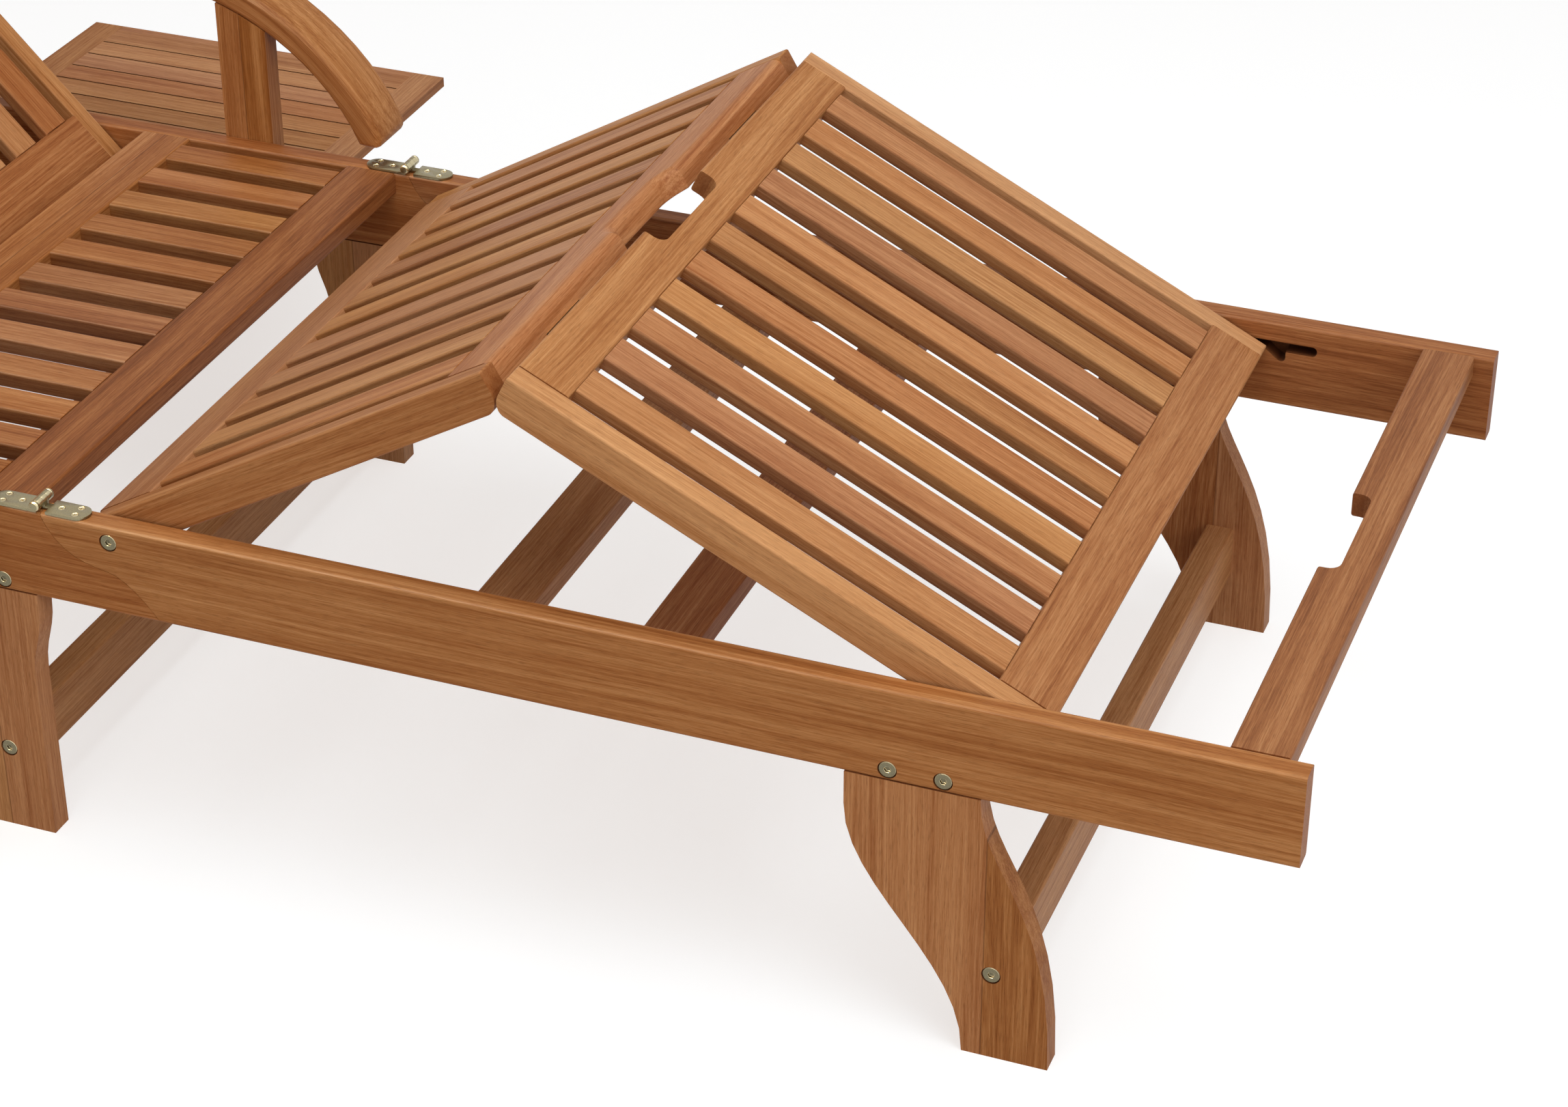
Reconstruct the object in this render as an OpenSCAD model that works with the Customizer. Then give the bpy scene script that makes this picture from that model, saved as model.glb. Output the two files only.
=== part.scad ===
// Wooden deckchair that folds in two, with a raised knee, a propped backrest, armrests and a sliding tray.
// Millimetres. X runs from the head end to the foot end, Y to the far side, Z up from the floor.
// Stations along X are counted from the foot end, so they are negative towards the head.

/* [Overall] */
// Height of the rail tops above the floor
seat_height = 319; // [305:1:345]
// Width over the outer faces of the side rails
frame_width = 690; // [650:1:740]
// Length from the foot end to the fold axis
foot_length = 1036; // [1030:1:1080]
// Length from the fold axis to the head end
head_length = 994; // [985:1:1060]

/* [Rails and legs] */
// Thickness of the side rails and of the legs
rail_t = 21; // [20:0.5:25]
// Depth of the side rails
rail_h = 80; // [78:1:90]
// Radius on the long edges of the rails
rail_edge_r = 3; // [1:0.5:5]
// Distance of the foot leg's front edge from the foot end
leg_set = 241.5; // [225:0.5:255]
// Width of a curved leg where it meets the rail
leg_top_w = 108; // [100:1:120]
// Reach of a curved leg's sole in front of its top edge
leg_reach = 61; // [50:1:70]
// Width of a curved leg's sole
leg_sole_w = 70; // [60:1:80]
// Width of a middle leg where it meets the rail
mid_leg_top_w = 95; // [90:1:105]
// Width of a middle leg's sole
mid_leg_sole_w = 70; // [60:1:80]
// Step of the middle leg's front edge below its shoulder
mid_leg_step = 11; // [6:1:14]
// Distance of the middle leg behind the fold axis
mid_leg_set = 9; // [6:1:20]
// Height of the leg tenon inside the rail
tenon_h = 20; // [16:1:26]
// Thickness of the leg tenon
tenon_t = 7; // [6:0.5:8]
// Height of a stretcher
stretcher_h = 50; // [40:1:60]
// Thickness of a stretcher
stretcher_t = 26; // [20:1:30]
// Height of the stretchers' lower edges above the floor
stretcher_z = 54; // [40:1:70]

/* [Fold joint] */
// Height of the fold axis above the rail tops
fold_rise = 6.5; // [5.5:0.25:8]
// Start of the scarf in front of the fold axis
scarf_start = 3; // [2:0.5:6]
// Level stretch of the scarf in front of the fold axis
scarf_shelf_x = 60; // [54:1:66]
// Depth of the scarf's level stretch below the rail tops
scarf_shelf_z = 42; // [38:1:46]
// End of the scarf in front of the fold axis
scarf_end = 105; // [100:1:115]
// Saw gap left between the two halves of the scarf
scarf_gap = 0.3; // [0.2:0.05:0.6]
// Width of the strap hinge leaves
strap_w = 20; // [16:0.5:20]
// Length of a strap hinge leaf from the fold axis
strap_len = 44; // [42:1:48]
// Thickness of a strap hinge leaf
strap_t = 2.5; // [2:0.25:3]
// Radius of the strap hinge barrel
strap_barrel_r = 4.5; // [4:0.25:5]
// Radius of the strap hinge pin
strap_pin_r = 2.2; // [2:0.1:2.6]

/* [Cross members] */
// Thickness of the cross rails, seat bars and panel rails
bar_t = 21; // [18:0.5:24]
// Radius on the edges of the bars
bar_edge_r = 2.5; // [1:0.5:4]
// Width of the foot and head cross rails
end_rail_w = 45; // [40:1:55]
// Inset of the end cross rails from the rail ends
end_rail_inset = 17; // [10:1:24]
// Depth of the handhold in the foot cross rail
end_notch_d = 17; // [12:1:20]
// Half length of the handholds across the chair
notch_half = 60; // [50:1:75]
// Inner corner radius of the handholds
notch_r = 10; // [6:1:12]
// Width of the cross boards under the leg rest
cross_board_w = 49; // [40:1:60]
// Distance of the first cross board from the foot end
cross_board_1 = 507; // [480:1:540]
// Distance of the second cross board from the foot end
cross_board_2 = 651; // [620:1:690]

/* [Seat] */
// Distance of the seat's front edge behind the fold axis
seat_set = 10.5; // [8:0.5:16]
// Length of the seat over both bars
seat_len = 271; // [255:1:290]
// Width of a seat bar
seat_bar_w = 51; // [45:1:56]
// Width of a seat slat
seat_slat_w = 33; // [28:1:38]
// Thickness of a seat slat
seat_slat_t = 15; // [12:0.5:17]
// Gap between a side rail and the outer seat slat
seat_slat_gap = 13.525; // [8:0.025:20]
// Number of seat slats
seat_slat_n = 12; // [10:1:12]

/* [Panels] */
// Gap between a panel and the side rail
side_gap = 2; // [1.5:0.25:4]
// Height of the panel tops above the rail tops when flat
panel_stand = 1; // [0:0.25:2]
// Depth of a panel stile
stile_h = 34; // [32:1:36]
// Thickness of a panel stile
stile_t = 21; // [18:0.5:24]
// Width of a panel slat
slat_w = 35; // [30:1:38]
// Thickness of a panel slat
slat_t = 12.5; // [10:0.5:14]
// Spacing of the panel slats
slat_pitch = 54; // [52:0.5:54]
// Number of slats in a panel
slat_n = 11; // [9:1:11]
// Radius on the edges of the slats
slat_edge_r = 2.5; // [1:0.5:4]
// Rounding of the slats' ends
slat_end_arris = 0.8; // [0.3:0.1:1.5]
// Depth of the panel pivots below the panel tops
pivot_drop = 15.5; // [13:0.5:18]
// Length of a panel beyond its pivot
pivot_tail = 29.5; // [27:0.5:31]
// Width of the knee rails
knee_rail_w = 45; // [42:1:52]
// Width of the panel rails at the far ends
panel_rail_w = 51; // [45:1:58]
// Width of the rails beside the panel pivots
pivot_rail_w = 58; // [52:1:62]

/* [Leg rest] */
// Distance of the thigh pivot in front of the fold axis
thigh_pivot_set = 64; // [60:1:70]
// Length of the thigh panel from its pivot to the knee
thigh_len = 382.5; // [370:0.5:390]
// Angle of the thigh panel above level, as it is set here
thigh_angle = 30; // [26:0.5:31]
// Gap between the two panels at the knee when flat
knee_gap = 2.5; // [2:0.25:4]
// Depth of the knee axis below the panel tops
knee_drop = 22; // [21.5:0.25:24]
// Length of the calf panel
calf_len = 478; // [470:1:486]
// Distance of the guide pins from the knee axis
calf_pin_reach = 430; // [425:1:436]
// Depth of the guide pins below the calf panel's top
calf_pin_drop = 23.35; // [22:0.05:24]
// Radius of the guide pins
guide_pin_r = 3; // [2.5:0.1:3.4]
// Depth of the handhold in the calf's knee rail
calf_notch_d = 19; // [14:1:22]
// Depth of the handhold in the thigh's knee rail
thigh_notch_d = 16; // [11:1:20]
// Radius on the knee edge of the thigh's knee rail
knee_edge_r = 9; // [5:1:12]

/* [Guide slots] */
// Height of a guide slot
slot_h = 9.5; // [9:0.25:11]
// Depth of a guide slot into the rail
slot_d = 16; // [13:0.5:16.5]
// Depth of the leg rest's slots below the rail tops
calf_slot_drop = 22.15; // [21.5:0.05:23]
// Number of notches in a leg rest slot
calf_notches = 3; // [2:1:4]
// Spacing of those notches
notch_pitch = 33.3; // [32:0.1:36]
// Depth of a notch below its slot
tooth_d = 9.5; // [6:0.5:11]
// Length of a notch with its ramp
tooth_len = 18; // [14:1:20]

/* [Backrest] */
// Distance of the back pivot behind the seat's rear edge
back_pivot_set = 53.2; // [50:0.1:60]
// Length of the backrest from its pivot to the top
back_len = 572; // [565:1:574]
// Angle of the backrest above level, as it is set here
back_angle = 45.9; // [40:0.1:50]
// Distance of the prop's pivot from the back pivot
prop_arm = 250; // [240:1:255]
// Depth of the prop's pivot below the back pivot
prop_drop = 9.5; // [8:0.5:11]
// Length of the prop between its pivot and its guide pins
prop_len = 284; // [278:1:288]
// Depth of the prop's slots below the back pivot
prop_slot_drop = 27.4; // [26:0.1:29]
// Width and thickness of a prop strut
prop_w = 20; // [16:0.5:20]
// Thickness of a prop strut across the chair
prop_t = 18; // [14:1:20]
// Height of the prop's cross bar when the prop lies flat
prop_bar_t = 16; // [12:1:16]

/* [Armrests] */
// Height of the armrest tops above the rail tops
arm_rise = 171; // [160:1:200]
// Thickness of an armrest
arm_t = 24.5; // [20:0.5:28]
// Width of an armrest
arm_w = 57; // [50:1:70]
// Length of an armrest
arm_len = 560; // [520:1:600]
// Distance of the armrest's tip behind the fold axis
arm_tip_set = 36; // [30:1:45]
// Gap between the armrest and the plane of the rail's outer face
arm_gap = 0.4; // [0.3:0.05:1]
// Width of an armrest post
post_w = 51; // [45:1:58]
// Thickness of an armrest post
post_t = 21; // [18:0.5:25]
// Distance of the front post behind the fold axis
front_post_set = 151; // [140:1:160]
// Distance of the rear post from the armrest's rear end
rear_post_inset = 40; // [30:1:60]

/* [Tray] */
// Gap between the rear tray runner and the head leg
runner_leg_gap = 50.5; // [20:0.5:80]
// Distance of the tray's front edge behind the fold axis
tray_set = 150; // [148:1:170]
// Thickness of the tray
tray_t = 10; // [8:0.5:12]
// Gap between the tray and the rails' lower edges
tray_gap = 4; // [2:0.5:6]
// How far the tray is pulled out
tray_out = 368.5; // [300:0.5:380]
// Width of the tray's end boards
tray_end_w = 34; // [28:1:40]
// Width of the tray's edge boards
tray_edge_w = 42.7; // [35:0.1:50]
// Spacing of the tray's inner boards
tray_pitch = 32.8; // [30:0.1:36]
// Number of inner boards in the tray
tray_board_n = 14; // [12:1:15]
// Gap between two boards of the tray
tray_slit = 2; // [1.5:0.25:3]
// Width of the lip that carries the tray
runner_lip = 13; // [10:1:16]
// Width of a runner beside the tray
runner_w = 24; // [18:1:26]

/* [Fastenings] */
// Radius of the bolt heads
bolt_head_r = 7.5; // [6:0.25:8]
// Height of the bolt heads
bolt_head_t = 3.5; // [3:0.25:4]
// Radius of the bolt shanks
bolt_r = 3; // [2.5:0.25:4]
// Depth of the bolt heads' faces below the wood
bolt_sink = 0.5; // [0.3:0.1:1]
// Height of the upper leg bolts above the rails' lower edges
leg_bolt_rise = 9.4; // [8:0.1:12]
// Distance of the first leg bolt from the leg's front edge
leg_bolt_set = 29.7; // [26:0.1:34]
// Spacing of the two bolts at a leg's top
leg_bolt_pitch = 44; // [36:1:48]
// Radius of the panel pivots
pivot_r = 4; // [3:0.25:5]
// Clearance of a turning pin in its bore
run_gap = 0.05; // [0.03:0.01:0.1]
// Clearance of a fixed bolt in its hole
hole_gap = 0.25; // [0.1:0.05:0.5]
// Play on each side of a washer
washer_gap = 0.3; // [0.2:0.05:0.4]

/* [Hidden] */
$fn = 48;
eps = 0.01;
wood = [0.68, 0.44, 0.27];
wood_deep = [0.60, 0.37, 0.22];
wood_pale = [0.74, 0.50, 0.32];
brass = [0.72, 0.65, 0.47];

// Shapes of the curved edges: heights as parts of the leg's height, and steps along the scarf
curved_front = [0.728, 0.649];
curved_back = [0.879, 0.565, 0.356];
mid_bends = [0.937, 0.816, 0.774, 0.661];
scarf_bends = [[12, -31], [-24, 3.5], [16, -2], [-9.5, 13.5]];
arm_bends = [228, 138, 38];
arm_shoulder = 0.65;

// Small radii, margins and clearances
bolt_bevel = 0.9;
socket_d = 2.4;
socket_r = 2.9;
leg_steps = 12;
tenon_inset = 12;
mortise_gap = 0.2;
tooth_tip_r = 4;
lip_r = 1;
stile_end_r = 6;
stile_tip_r = 3;
knee_corner_r = [2, 15];
pin_room = 1;
stop_gap = 1;
blind_wood = 3;
socket_wood = 6;
washer_rim = 5;
stretcher_bolt_len = 60;
post_bolt_inset = 20;
arm_nose_r = 8.5;
arm_nose_flat = 16;
arm_end_rise = 22;
arm_low_rise = 9;
arm_edge_r = 8;
arm_low_edge_r = 3;
arm_steps = 14;
prop_play = 0.6;
prop_bar_set = 14;
prop_bar_w = 36;
runner_play = 1;
runner_gap = 0.3;
runner_lip_t = 7;

// Planes and stations of the frame
half_w = frame_width / 2;
inner_y = half_w - rail_t;
head_x = -(foot_length + head_length);
fold_x = -foot_length;
fold_z = seat_height + fold_rise;
leg_h = seat_height - rail_h;
panel_y = inner_y - side_gap;
slat_room_y = panel_y - stile_t;
seat_slat_pitch = (2 * (inner_y - seat_slat_gap) - seat_slat_w) / (seat_slat_n - 1);
mid_leg_x = fold_x - mid_leg_set;
seat_front_x = fold_x - seat_set;
seat_rear_x = seat_front_x - seat_len;
head_leg_x = head_x + leg_set;

// Panel pivots and the knee
pivot_z = seat_height + panel_stand - pivot_drop;
thigh_pivot = [fold_x + thigh_pivot_set, pivot_z];
back_pivot = [seat_rear_x - back_pivot_set, pivot_z];
knee_local = [thigh_len + knee_gap / 2, pivot_drop - knee_drop];
knee = thigh_pivot + turned(-thigh_angle, knee_local);

// Guide slots of the leg rest, and the calf's slope that keeps its pins at the top of them
calf_slot_z = seat_height - calf_slot_drop;
calf_pin_rest_z = calf_slot_z + slot_h / 2 - guide_pin_r - washer_gap;
calf_pin_v = calf_pin_drop - knee_drop;
calf_angle = asin((knee[1] - calf_pin_rest_z) / norm([calf_pin_reach, calf_pin_v]))
    - atan(calf_pin_v / calf_pin_reach);
knee_flat = thigh_pivot + knee_local;
calf_slot_front = knee_flat[0] + calf_pin_reach;
calf_pin_rest_x = knee[0] + turned(calf_angle, [calf_pin_reach, -calf_pin_v])[0];
calf_wall_last = calf_pin_rest_x + guide_pin_r + stop_gap;
calf_slot_rear = calf_pin_rest_x - notch_pitch;

// Prop of the backrest and its guide slots
prop_slot_z = pivot_z - prop_slot_drop;
prop_pivot_local = [-prop_arm, -prop_drop];
prop_pivot = back_pivot + turned(back_angle, prop_pivot_local);
prop_angle = asin((prop_pivot[1] - prop_slot_z) / prop_len);
back_stops = [20, 33, back_angle, back_angle + 14];
prop_slot_rear = prop_foot_x(0) - stop_gap;
prop_slot_front = prop_foot_x(back_stops[3]) + stop_gap;

// Armrest, posts and tray
arm_tip_x = fold_x - arm_tip_set;
arm_top_z = seat_height + arm_rise;
arm_rear_x = arm_tip_x - arm_len;
arm_y = half_w + arm_gap;
front_post_x = fold_x - front_post_set;
rear_post_x = arm_rear_x + rear_post_inset + post_w;
tray_front_x = fold_x - tray_set;
tray_rear_x = head_leg_x + leg_top_w + runner_leg_gap + runner_w + runner_play;
tray_len = tray_front_x - tray_rear_x;
tray_top_z = leg_h - tray_gap;
tray_bottom_z = tray_top_z - tray_t;
tray_far_y = half_w + tray_out;
tray_depth = 2 * tray_edge_w + tray_board_n * tray_pitch + tray_slit;
tray_near_y = tray_far_y - tray_depth;

// The origin stands on the floor under the middle of the whole chair as it is set here
origin_x = -head_x / 2;
origin_y = -(tray_far_y - arm_y - arm_w) / 2;

// A point (x, z) turned by an angle about +Y
function turned(a, p) = [p[0] * cos(a) + p[1] * sin(a), -p[0] * sin(a) + p[1] * cos(a)];
// Station of the prop's guide pins for an angle of the backrest
function prop_foot_x(a) = let (j = back_pivot + turned(a, prop_pivot_local))
    j[0] - sqrt(prop_len * prop_len - (j[1] - prop_slot_z) * (j[1] - prop_slot_z));
// A point on a cubic curve, and a row of n + 1 of them
function on_curve(p, t) = pow(1 - t, 3) * p[0] + 3 * t * pow(1 - t, 2) * p[1]
    + 3 * t * t * (1 - t) * p[2] + pow(t, 3) * p[3];
function curve(p, n) = [for (i = [0:n]) on_curve(p, i / n)];
// The curve's own direction at t
function heading(p, t) = let (d = (1 - t) * (1 - t) * (p[1] - p[0]) + 2 * t * (1 - t) * (p[2] - p[1])
    + t * t * (p[3] - p[2])) d / norm(d);
// The curve moved to its right-hand side by d
function offset_curve(p, d, n) = [for (i = [0:n]) let (h = heading(p, i / n))
    on_curve(p, i / n) + d * [h[1], -h[0]]];
function arc(c, r, a0, a1, n = 5) = [for (i = [0:n]) let (a = a0 + (a1 - a0) * i / n)
    c + r * [cos(a), sin(a)]];
function backwards(v) = [for (i = [len(v) - 1:-1:0]) v[i]];
// A box outline whose corners are rounded by r = [low left, low right, high right, high left]
function box_outline(x0, x1, y0, y1, r) = concat(
    r[0] > 0 ? arc([x0 + r[0], y0 + r[0]], r[0], 180, 270) : [[x0, y0]],
    r[1] > 0 ? arc([x1 - r[1], y0 + r[1]], r[1], 270, 360) : [[x1, y0]],
    r[2] > 0 ? arc([x1 - r[2], y1 - r[2]], r[2], 0, 90) : [[x1, y1]],
    r[3] > 0 ? arc([x0 + r[3], y1 - r[3]], r[3], 90, 180) : [[x0, y1]]);

// Extrusions of an outline drawn in (x, z) along Y, and of one drawn in (y, z) along X
module along_y(y0, y1) {
    translate([0, y1, 0]) rotate([90, 0, 0]) linear_extrude(height = y1 - y0) children();
}
module along_x(x0, x1) {
    translate([x0, 0, 0]) rotate([90, 0, 90]) linear_extrude(height = x1 - x0) children();
}
module placed() {
    translate([origin_x, origin_y, 0]) children();
}
module near() {
    mirror([0, 1, 0]) children();
}
module both_sides() {
    children();
    near() children();
}
// A round bar or hole along Y at a station and height
module round_y(x, z, r, y0, y1) {
    translate([x, y1, z]) rotate([90, 0, 0]) cylinder(h = y1 - y0, r = r);
}
module cross_bar(x0, x1, z0, z1, y_half) {
    along_y(-y_half, y_half) polygon(box_outline(x0, x1, z0, z1, [1, 1, 1, 1] * bar_edge_r));
}
// Slats from x0 to x1, with a fine arris at their ends
module slat_row(x0, x1, w, t, pitch, count, z_top) {
    half = ((count - 1) * pitch + w) / 2;
    intersection() {
        for (i = [0:count - 1])
            translate([0, (i - (count - 1) / 2) * pitch, z_top]) along_x(x0, x1)
                polygon(box_outline(-w / 2, w / 2, -t, 0, [1, 1, 1, 1] * slat_edge_r));
        along_y(-half, half)
            polygon(box_outline(x0, x1, z_top - t, z_top, [1, 1, 1, 1] * slat_end_arris));
    }
}

// The way into a closed outline at one of its points, as long as a step of 1 across its edges
function inward(v, i) = let (n = len(v), a = v[i] - v[(i + n - 1) % n], b = v[(i + 1) % n] - v[i],
    na = [-a[1], a[0]] / norm(a), nb = [-b[1], b[0]] / norm(b)) (na + nb) / (1 + na * nb);
// A board between y0 and y1 with a rounded edge all round, of its own radius at each point of the outline.
// The outline's first half runs along the lower side and its second half back along the upper one.
module soft_board(outline, radii, y0, y1, steps = 4) {
    n = len(outline);
    last = 2 * steps + 1;
    turn = [for (k = [0:last]) 90 * min(k, last - k) / steps];
    points = [for (k = [0:last]) for (i = [0:n - 1]) let (in = radii[i] * (1 - cos(turn[k])),
        p = outline[i] + radii[i] * (1 - sin(turn[k])) * inward(outline, i))
        [p[0], k <= steps ? y0 + in : y1 - in, p[1]]];
    sides = [for (k = [0:last - 1]) for (i = [0:n - 1]) let (a = k * n + i, b = k * n + (i + 1) % n)
        each [[a, b, b + n], [a, b + n, a + n]]];
    rungs = [for (k = [0:floor(n / 2) - 1])
        each [[k, k + 1, n - 1 - k], if (k + 1 < n - 2 - k) [k + 1, n - 2 - k, n - 1 - k]]];
    caps = [for (t = rungs) each [[t[2], t[1], t[0]], [for (i = t) last * n + i]]];
    polyhedron(points, concat(caps, sides));
}

// Connecting bolt: head outwards at y = 0, shank towards -Y
module bolt(length, r = bolt_r) {
    difference() {
        rotate([90, 0, 0]) {
            rotate_extrude()
                polygon([[0, 0], [bolt_head_r - bolt_bevel, 0], [bolt_head_r, bolt_bevel],
                    [bolt_head_r, bolt_head_t], [0, bolt_head_t]]);
            cylinder(h = length, r = r);
        }
        translate([0, eps, 0]) rotate([90, 0, 0]) cylinder(h = socket_d, r = socket_r, $fn = 6);
    }
}
module bolt_at(x, z, y_face, length, r = bolt_r) {
    translate([x, y_face - bolt_sink, z]) bolt(length, r);
}
// Its counterbore and through hole, from the outer face down to y_end
module bolt_hole(x, z, y_face, y_end, r = bolt_r, gap = hole_gap) {
    round_y(x, z, bolt_head_r + hole_gap, y_face - bolt_sink - bolt_head_t, y_face + 1);
    round_y(x, z, r + gap, y_end, y_face);
}

// Outlines of the legs, in (x, z) from the front edge of the leg's top
function curved_leg_outline() = let (back = leg_reach - leg_sole_w) concat(
    curve([[0, leg_h], [0, curved_front[0] * leg_h], [leg_reach, curved_front[1] * leg_h],
        [leg_reach, 0]], leg_steps),
    backwards(concat([[-leg_top_w, leg_h]],
        curve([[-leg_top_w, curved_back[0] * leg_h], [-leg_top_w, curved_back[1] * leg_h],
            [back, curved_back[2] * leg_h], [back, 0]], leg_steps))));
function mid_leg_edge(x0, x1) = curve([[x0, mid_bends[0] * leg_h], [x0, mid_bends[1] * leg_h],
    [x1, mid_bends[2] * leg_h], [x1, mid_bends[3] * leg_h]], leg_steps / 2);
function mid_leg_outline() = let (back = -mid_leg_step - mid_leg_sole_w) concat(
    [[0, leg_h]],
    mid_leg_edge(0, -mid_leg_step),
    [[-mid_leg_step, 0], [back, 0]],
    backwards(mid_leg_edge(-mid_leg_top_w, back)),
    [[-mid_leg_top_w, leg_h]]);

tenon_y = half_w - rail_t / 2;
module tenon(top_w, grow = 0) {
    translate([-top_w + tenon_inset - grow, tenon_y - tenon_t / 2 - grow, leg_h - eps])
        cube([top_w - 2 * tenon_inset + 2 * grow, tenon_t + 2 * grow, tenon_h + 2 * grow]);
}
module leg_top_holes() {
    for (i = [0, 1])
        round_y(-leg_bolt_set - i * leg_bolt_pitch, leg_h + leg_bolt_rise, bolt_r + hole_gap,
            inner_y, half_w);
}
module leg_top_bolts() {
    for (i = [0, 1])
        bolt_at(-leg_bolt_set - i * leg_bolt_pitch, leg_h + leg_bolt_rise, half_w, rail_t - 2 * pin_room);
}
// Cuts in the rail for one leg: the mortise and the two bolt holes
module leg_cuts(top_w) {
    tenon(top_w, mortise_gap);
    for (i = [0, 1])
        bolt_hole(-leg_bolt_set - i * leg_bolt_pitch, leg_h + leg_bolt_rise, half_w, inner_y + pin_room);
}
module leg(outline, top_w, bolt_x) {
    difference() {
        union() {
            along_y(inner_y, half_w) polygon(outline);
            tenon(top_w);
        }
        leg_top_holes();
        bolt_hole(bolt_x, stretcher_z + stretcher_h / 2, half_w, inner_y - 1);
    }
}
module curved_leg() {
    leg(curved_leg_outline(), leg_top_w, curved_bolt_x);
}
module mid_leg() {
    leg(mid_leg_outline(), mid_leg_top_w, mid_bolt_x);
}
curved_bolt_x = stretcher_t / 2;
mid_bolt_x = -mid_leg_step - mid_leg_sole_w / 2;
module stretcher(x) {
    difference() {
        cross_bar(x - stretcher_t / 2, x + stretcher_t / 2, stretcher_z, stretcher_z + stretcher_h, inner_y);
        both_sides()
            round_y(x, stretcher_z + stretcher_h / 2, bolt_r + hole_gap,
                half_w - bolt_sink - stretcher_bolt_len - pin_room, inner_y + 1);
    }
}
module stretcher_bolt(x) {
    bolt_at(x, stretcher_z + stretcher_h / 2, half_w, stretcher_bolt_len);
}
// Turns a foot-end leg assembly round so that it serves the head end
module at_head() {
    translate([head_leg_x, 0, 0]) mirror([1, 0, 0]) children();
}
module at_foot() {
    translate([-leg_set, 0, 0]) children();
}
module at_mid() {
    translate([mid_leg_x, 0, 0]) children();
}

// The scarf between the two halves, from the rail top down to its lower edge
function scarf_line() = let (top = [fold_x + scarf_start, seat_height],
    shelf = [fold_x + scarf_shelf_x, seat_height - scarf_shelf_z], low = [fold_x + scarf_end, leg_h],
    upper = curve([top, top + scarf_bends[0], shelf + scarf_bends[1], shelf], 7),
    lower = curve([shelf, shelf + scarf_bends[2], low + scarf_bends[3], low], 6))
    concat(upper, [for (i = [1:len(lower) - 1]) lower[i]]);
function moved(v, d) = [for (p = v) p + d];

module rail_blank(outline, x0, x1) {
    intersection() {
        along_y(inner_y, half_w) polygon(outline);
        along_x(x0, x1)
            polygon(box_outline(inner_y, half_w, leg_h, seat_height, [1, 1, 1, 1] * rail_edge_r));
    }
}
// A guide slot with saw-tooth notches: side = 1 has their upright walls towards the foot end
module guide_slot(x0, x1, z, walls, side) {
    along_y(inner_y - 1, inner_y + slot_d) {
        polygon(box_outline(x0 - slot_h / 2, x1 + slot_h / 2, z - slot_h / 2, z + slot_h / 2,
            [1, 1, 1, 1] * (slot_h / 2 - eps)));
        for (x = walls)
            translate([x, z]) mirror([side > 0 ? 0 : 1, 0]) notch_outline();
    }
}
// One notch, drawn from its upright wall at x = 0
module notch_outline() {
    polygon(concat([[0, 0]],
        arc([-tooth_tip_r, tooth_tip_r - slot_h / 2 - tooth_d], tooth_tip_r, 0, -120, 6),
        [[-tooth_len, -slot_h / 2], [-tooth_len, 0]]));
}

module seat_rail() {
    difference() {
        rail_blank(concat([[head_x, leg_h]], backwards(scarf_line()), [[head_x, seat_height]]),
            head_x, fold_x + scarf_end + 1);
        guide_slot(prop_slot_rear, prop_slot_front, prop_slot_z,
            [for (a = back_stops) prop_foot_x(a) - guide_pin_r - stop_gap], -1);
        at_mid() leg_cuts(mid_leg_top_w);
        at_head() leg_cuts(leg_top_w);
        bolt_hole(back_pivot[0], back_pivot[1], half_w, inner_y - 1, pivot_r);
        post_holes();
    }
}
module foot_rail() {
    scarf = moved(scarf_line(), [scarf_gap, scarf_gap]);
    difference() {
        rail_blank(concat(scarf, [[0, leg_h], [0, seat_height]]), fold_x, 0);
        guide_slot(calf_slot_rear, calf_slot_front, calf_slot_z,
            [for (i = [0:calf_notches - 1]) calf_wall_last + i * notch_pitch], 1);
        at_foot() leg_cuts(leg_top_w);
        bolt_hole(thigh_pivot[0], thigh_pivot[1], half_w, inner_y - 1, pivot_r);
    }
}

// Cross members of the frame
module foot_cross_rail() {
    x0 = -end_rail_inset - end_rail_w;
    intersection() {
        cross_bar(x0, x0 + end_rail_w, seat_height - bar_t, seat_height, inner_y);
        translate([0, 0, seat_height - bar_t])
            linear_extrude(height = bar_t)
                polygon(concat(handhold(x0, end_notch_d, inner_y), [[x0 + end_rail_w, inner_y],
                    [x0 + end_rail_w, -inner_y]]));
    }
}
// Edge of a board at x, from y = -y_half to +y_half, with a handhold d deep towards side
function handhold(x, d, y_half, side = 1) = let (in_x = d - notch_r, in_y = notch_half - notch_r,
    out_y = notch_half + lip_r)
    [for (p = concat([[0, -y_half], [0, -out_y]],
        arc([lip_r, -out_y], lip_r, 180, 90, 3),
        arc([in_x, -in_y], notch_r, -90, 0),
        arc([in_x, in_y], notch_r, 0, 90),
        arc([lip_r, out_y], lip_r, 270, 180, 3),
        [[0, y_half]])) [x + side * p[0], p[1]]];
module head_cross_rail() {
    cross_bar(head_x + end_rail_inset, head_x + end_rail_inset + end_rail_w,
        seat_height - bar_t, seat_height, inner_y);
}
module cross_boards() {
    for (d = [cross_board_1, cross_board_2])
        cross_bar(-d - cross_board_w, -d, leg_h, leg_h + bar_t, inner_y);
}
module seat_front_bar() {
    cross_bar(seat_front_x - seat_bar_w, seat_front_x, seat_height - bar_t, seat_height, inner_y);
}
module seat_rear_bar() {
    cross_bar(seat_rear_x, seat_rear_x + seat_bar_w, seat_height - bar_t, seat_height, inner_y);
}
module seat_slats() {
    slat_row(seat_rear_x + seat_bar_w, seat_front_x - seat_bar_w, seat_slat_w, seat_slat_t,
        seat_slat_pitch, seat_slat_n, seat_height);
}

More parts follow.
